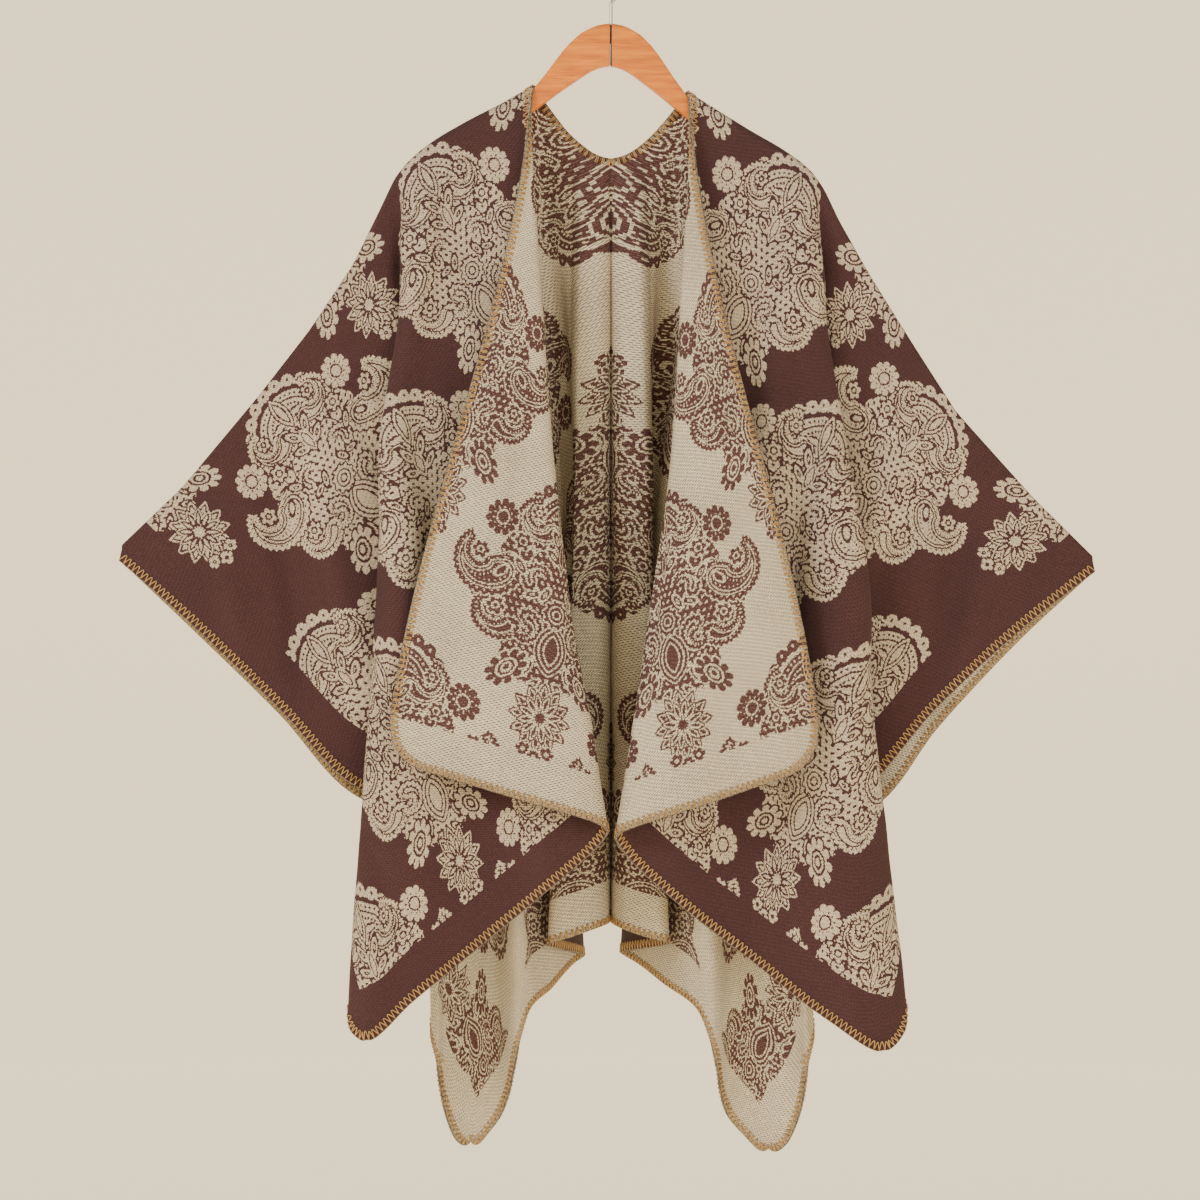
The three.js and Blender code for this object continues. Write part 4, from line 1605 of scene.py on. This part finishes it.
    def sew(self, run: EdgeRun, trees: dict[int, BVHTree], share: Pair) -> None:
        """Sews one edge.

        Args:
            run: the edge.
            trees: search trees of the faces, by their way.
            share: which part of the bake's width the edge has.
        """
        length = float(np.linalg.norm(np.diff(run.points, axis=0), axis=1).sum())
        count = int(length / self.pitch)
        starts = np.arange(count)[:, None] * (length / count)
        laid = [
            (thread, np.minimum(np.concatenate(
                [starts + np.array(row) * self.pitch for row in thread.offsets]), length))
            for thread in self.threads()
        ]
        cord_points = max(8, int(length / self.cord_step))
        cord = Thread((), (0.0,) * cord_points, self.cord_radius, 1, 1, (0.945, 1.0),
                      CLOTH_THICKNESS / 2 + self.cord_radius * self.lying)
        laid.append((cord, np.linspace(0, length, cord_points)[None, :]))
        low, wide = share[0], share[1] - share[0]
        for thread, steps in laid:
            depths = np.broadcast_to(np.array(thread.depths), steps.shape)
            paths, out = self.lay(run, steps, depths, trees[thread.way], thread)
            band = (low + wide * thread.band[0], low + wide * thread.band[1])
            self.add_tubes(paths, out, thread, band)

    def build(self, thread: bpy.types.Material, yarn: bpy.types.Material) -> bpy.types.Object:
        """Sews every free edge of the stretch.

        Args:
            thread: the overcast thread.
            yarn: the cord along the very edge.

        Returns:
            The stitching piece.
        """
        quads = self.shell.grid.quads().tolist()
        trees = {way: BVHTree.FromPolygons(self.shell.layer(way).tolist(), quads)
                 for way in (1, -1)}
        runs = self.runs()
        shares = [(0.0, 1.0)] if len(runs) == 1 else [(0.0, self.hem_share), (self.hem_share, 1.0)]
        for run, share in zip(runs, shares):
            self.sew(run, trees, share)
        piece = new_piece(f"{self.shell.name.removesuffix('_cloth')}_stitching",
                          np.concatenate(self.vertices), np.concatenate(self.faces))
        for finish in (thread, yarn):
            piece.data.materials.append(finish)
        piece.data.polygons.foreach_set("material_index", np.concatenate(self.kinds))
        layer = piece.data.uv_layers.new(name="OFBake")
        layer.data.foreach_set("uv", np.concatenate(self.maps).ravel().astype(np.float32))
        piece.data.shade_smooth()
        return piece


@dataclass
class Hanger:
    """Wooden hanger of two arms that meet at a seam, with a steel wire hook."""

    thickness: float = 12.0
    rounding: float = 3.9
    rounding_steps: int = 5
    seam: float = 0.15
    hump: float = 61.0
    tilt: float = math.radians(1.6)
    stations: int = 34
    last_full: float = 192.0
    end_stations: Pair = (195.5, 197.0)
    end_heights: Pair = (0.82, 0.5)
    end_narrowing: float = 0.8
    smoothing: float = 3.0
    sharp_edge: float = math.radians(40)
    wire_radius: float = 1.8
    hook_radius: float = 18.8
    hook_centre: float = -17.0
    hook_angle: float = math.radians(266)
    hook_end: float = math.radians(196)
    shank_bottom: float = -81.0
    bend_radius: float = 9.77
    bend_start: float = -43.85
    bend_angle: float = math.radians(70)
    dome: tuple[Pair, ...] = ((0.45, 0.9), (0.3, 0.78), (0.2, 0.55))
    ridge: tuple[Pair, ...] = (
        (0, -61), (14, -63.5), (29, -71), (42, -83.5), (52, -96.5), (62, -111), (70, -121.5),
        (76, -129.5), (83, -136.5), (110, -152.5), (140, -169), (168, -186), (184, -198),
        (197, -210))
    underside: tuple[Pair, ...] = (
        (0, -103), (9, -104.5), (20, -109.5), (45, -127.5), (74, -150), (105, -173.5),
        (140, -192), (168, -209.5), (189, -226), (197, -223))

    def profile(self, rows: tuple[Pair, ...], out: Array) -> Array:
        """Height of one edge of the arm, smoothed between its rows.

        Args:
            rows: places out from the middle, with their heights.
            out: where it is read.

        Returns:
            The height at each place.
        """
        stops, ups = np.array(rows, float).T
        spread = [np.interp(np.clip(out + k * self.smoothing, 0, stops[-1]), stops, ups)
                  for k, _ in SMOOTHING_TAPS]
        return sum(spread) / len(spread)

    @staticmethod
    def close_up() -> None:
        """Merges doubled points of the mesh in edit mode, and turns its faces outward."""
        bpy.ops.mesh.select_all(action="SELECT")
        bpy.ops.mesh.remove_doubles(threshold=1e-6)
        bpy.ops.mesh.normals_make_consistent(inside=False)
        bpy.ops.object.mode_set(mode="OBJECT")

    @staticmethod
    def dress(piece: bpy.types.Object, finish: bpy.types.Material, slot: str, node: str) -> None:
        """Gives a piece its finish and its place in the frame.

        Args:
            piece: the piece.
            finish: its material.
            slot: not used.
            node: the CAD node that it stands for.
        """
        piece.data.materials.append(finish)
        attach(piece, BODY)
        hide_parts(node)

    def build_arm(self, side: Side, finish: bpy.types.Material) -> bpy.types.Object:
        """One arm, drawn out section by section from the seam.

        Args:
            side: which arm.
            finish: the wood.

        Returns:
            The arm piece.
        """
        deselect()
        out = np.concatenate([np.linspace(0, self.last_full, self.stations), self.end_stations])
        top = self.profile(self.ridge, out)
        bottom = self.profile(self.underside, out)
        middle, half = (top + bottom) / 2, (top - bottom) / 2
        half[-2:] *= self.end_heights
        spots = [Vector(((x + self.seam) * MM, 0, z * MM)) for x, z in zip(out, middle)]
        bpy.ops.mesh.primitive_plane_add(size=1, location=spots[0], rotation=(0, math.pi / 2, 0))
        arm = bpy.context.object
        arm.name = f"{side.name.lower()}_arm"
        arm.scale = (2 * half[0] * MM, self.thickness * MM, 1)
        bpy.ops.object.transform_apply(location=True, rotation=True, scale=True)
        bpy.ops.object.mode_set(mode="EDIT")
        bpy.ops.mesh.select_mode(type="FACE")
        bpy.ops.mesh.select_all(action="SELECT")
        for k in range(1, len(out)):
            bpy.ops.mesh.extrude_region_move(
                TRANSFORM_OT_translate={"value": tuple(spots[k] - spots[k - 1])})
            narrow = self.end_narrowing if k >= self.stations else 1.0
            bpy.ops.transform.resize(
                value=(1, narrow, float(half[k] / half[k - 1])), center_override=spots[k])
        self.close_up()
        bevel = arm.modifiers.new("rounded_edges", "BEVEL")
        bevel.width = self.rounding * MM
        bevel.segments = self.rounding_steps
        bevel.limit_method = "ANGLE"
        bevel.angle_limit = self.sharp_edge
        bpy.ops.object.modifier_apply(modifier=bevel.name)
        if side is Side.LEFT:
            arm.scale.x = -1
            bpy.ops.object.transform_apply(location=False, rotation=False, scale=True)
            bpy.ops.object.mode_set(mode="EDIT")
            bpy.ops.mesh.select_all(action="SELECT")
            bpy.ops.mesh.normals_make_consistent(inside=False)
            bpy.ops.object.mode_set(mode="OBJECT")
        pivot = Vector((0, 0, -self.hump * MM))
        turn = Matrix.Rotation(self.tilt, 4, "Y")
        arm.matrix_world = Matrix.Translation(pivot) @ turn @ Matrix.Translation(-pivot)
        bpy.ops.object.transform_apply(location=True, rotation=True, scale=True)
        bpy.ops.object.shade_smooth_by_angle(angle=math.radians(35))
        self.dress(arm, finish, "wood", f"hanger_arm_{side.name.lower()}")
        return arm

    def build_hook(self, finish: bpy.types.Material) -> bpy.types.Object:
        """The wire: a straight shank, a bend to one side and the round hook with a domed end.

        Args:
            finish: the steel.

        Returns:
            The hook piece.
        """
        deselect()
        bpy.ops.mesh.primitive_circle_add(
            vertices=16, radius=self.wire_radius * MM, fill_type="NGON",
            location=(0, 0, self.shank_bottom * MM))
        hook = bpy.context.object
        hook.name = "wire_hook"
        bpy.ops.object.transform_apply(location=True, rotation=True, scale=True)
        bpy.ops.object.mode_set(mode="EDIT")
        bpy.ops.mesh.select_mode(type="FACE")
        bpy.ops.mesh.select_all(action="SELECT")
        bpy.ops.mesh.extrude_region_move(TRANSFORM_OT_translate={
            "value": (0, 0, (self.bend_start - self.shank_bottom) * MM)})
        bpy.ops.mesh.spin(steps=14, angle=-self.bend_angle, axis=(0, 1, 0),
                          center=(self.bend_radius * MM, 0, self.bend_start * MM))
        bpy.ops.mesh.spin(steps=56, angle=self.hook_angle, axis=(0, 1, 0),
                          center=(0, 0, self.hook_centre * MM))
        ahead = Vector((-math.sin(self.hook_end), 0, math.cos(self.hook_end)))
        ahead *= self.wire_radius * MM
        tip = Vector((math.cos(self.hook_end) * self.hook_radius, 0,
                      self.hook_centre + math.sin(self.hook_end) * self.hook_radius)) * MM
        for forward, shrink in self.dome:
            tip = tip + ahead * forward
            bpy.ops.mesh.extrude_region_move(
                TRANSFORM_OT_translate={"value": tuple(ahead * forward)})
            bpy.ops.transform.resize(value=(shrink, shrink, shrink), center_override=tip)
        self.close_up()
        bpy.ops.object.shade_smooth_by_angle(angle=self.sharp_edge)
        self.dress(hook, finish, "steel", "hanger_hook")
        return hook


class SoftLight(NamedTuple):
    """A square light: its name, where it stands and its side in metres, and its watts."""

    name: str
    place: Axes
    size: float
    power: float


@dataclass
class Studio:
    """Plain pale sweep, soft lights and the camera."""

    floor: float = -1.95
    radius: float = 7.0
    wall_top: float = 2.1
    bend: float = 1.4
    bend_steps: int = 20
    aim: Axes = (0, 0, -0.6)
    lights: tuple[SoftLight, ...] = (
        SoftLight("key", (-2.3, -2.0, 0.9), 1.1, 50),
        SoftLight("fill", (1.5, -2.8, -0.3), 1.8, 20),
    )
    air: Colour = (1, 0.98, 0.95)
    air_strength: float = 0.26
    eye: Axes = (-0.011, -3.0, -0.637)
    lens: float = 90
    sensor: float = 36

    def build_sweep(self) -> bpy.types.Object:
        """A round floor whose rim bends up into a low wall, clear of the camera on every side.

        Returns:
            The sweep.
        """
        deselect()
        bpy.ops.mesh.primitive_circle_add(
            vertices=96, radius=self.radius, fill_type="NGON", location=(0, 0, self.floor))
        sweep = bpy.context.object
        sweep.name = "sweep"
        bpy.ops.object.transform_apply(location=True, rotation=True, scale=True)
        bpy.ops.object.mode_set(mode="EDIT")
        bpy.ops.mesh.select_mode(type="EDGE")
        bpy.ops.mesh.select_all(action="SELECT")
        bpy.ops.mesh.extrude_edges_move(
            TRANSFORM_OT_translate={"value": (0, 0, self.wall_top - self.floor)})
        bpy.ops.object.mode_set(mode="OBJECT")
        bevel = sweep.modifiers.new("bend", "BEVEL")
        bevel.width = self.bend
        bevel.segments = self.bend_steps
        bevel.limit_method = "ANGLE"
        bevel.angle_limit = math.radians(40)
        bpy.ops.object.modifier_apply(modifier=bevel.name)
        sweep.data.shade_smooth()
        sweep.data.materials.append(SweepFinish().build())
        return sweep

    def add_light(self, given: SoftLight) -> None:
        """Adds one light, which looks at the middle of the garment.

        Args:
            given: the light.
        """
        light = bpy.data.lights.new(given.name, "AREA")
        light.size = given.size
        light.energy = given.power
        lamp = bpy.data.objects.new(given.name, light)
        bpy.context.scene.collection.objects.link(lamp)
        lamp.location = given.place
        ahead = Vector(self.aim) - lamp.location
        lamp.rotation_euler = ahead.to_track_quat("-Z", "Y").to_euler()

    def add_camera(self) -> None:
        """The camera, straight in front of the garment at the height of its middle."""
        lens = bpy.data.cameras.new("camera")
        lens.lens = self.lens
        lens.sensor_width = self.sensor
        camera = bpy.data.objects.new("camera", lens)
        bpy.context.scene.collection.objects.link(camera)
        camera.location = self.eye
        camera.rotation_euler = (math.pi / 2, 0, 0)
        bpy.context.scene.camera = camera

    def build(self) -> None:
        """Camera, sweep, lights and world."""
        self.add_camera()
        self.build_sweep()
        for light in self.lights:
            self.add_light(light)
        world = bpy.data.worlds.new("studio_air")
        world.use_nodes = True
        background = world.node_tree.nodes["Background"]
        background.inputs["Color"].default_value = (*self.air, 1)
        background.inputs["Strength"].default_value = self.air_strength
        bpy.context.scene.world = world


def cloth_shells() -> list[ClothShell]:
    """The four stretches of the one cloth.

    Returns:
        Both fronts and both halves of the back, hung on the hanger.
    """
    shells = []
    for side in Side:
        word = side.name.lower()
        arm = f"hanger_arm_{word}"
        front = DrapedStretch(FRONT_DRAPE, side, Facing.FRONT, FRONT_LENGTH, FRONT_CREASES[side])
        back = DrapedStretch(BACK_DRAPE, side, Facing.BACK, BACK_LENGTH, BACK_CREASES[side])
        shells.append(ClothShell(f"front_{word}_cloth", f"front_{word}", front, arm))
        shells.append(ClothShell(f"back_{word}_cloth", "back", back, arm))
    return shells


def report(piece: bpy.types.Object) -> None:
    """Logs a piece's name and how many faces it has."""
    LOG.info("%s: %d faces", piece.name, len(piece.data.polygons))


def main() -> None:
    """Builds the studio, the cloth with its stitching, and the hanger in order."""
    logging.basicConfig(level=logging.INFO, format="%(message)s")
    Studio().build()
    outer, inner = OUTER_FACE.build(), INNER_FACE.build()
    thread, yarn = TAN_THREAD.build(), DARK_THREAD.build()
    for shell in cloth_shells():
        cloth = shell.build(outer, inner)
        report(cloth)
        stitching = EdgeStitching(shell).build(thread, yarn)
        report(stitching)
    hanger = Hanger()
    wood, steel = WoodFinish().build(), SteelFinish().build()
    for side in Side:
        report(hanger.build_arm(side, wood))
    report(hanger.build_hook(steel))


if __name__ == "__main__":
    main()
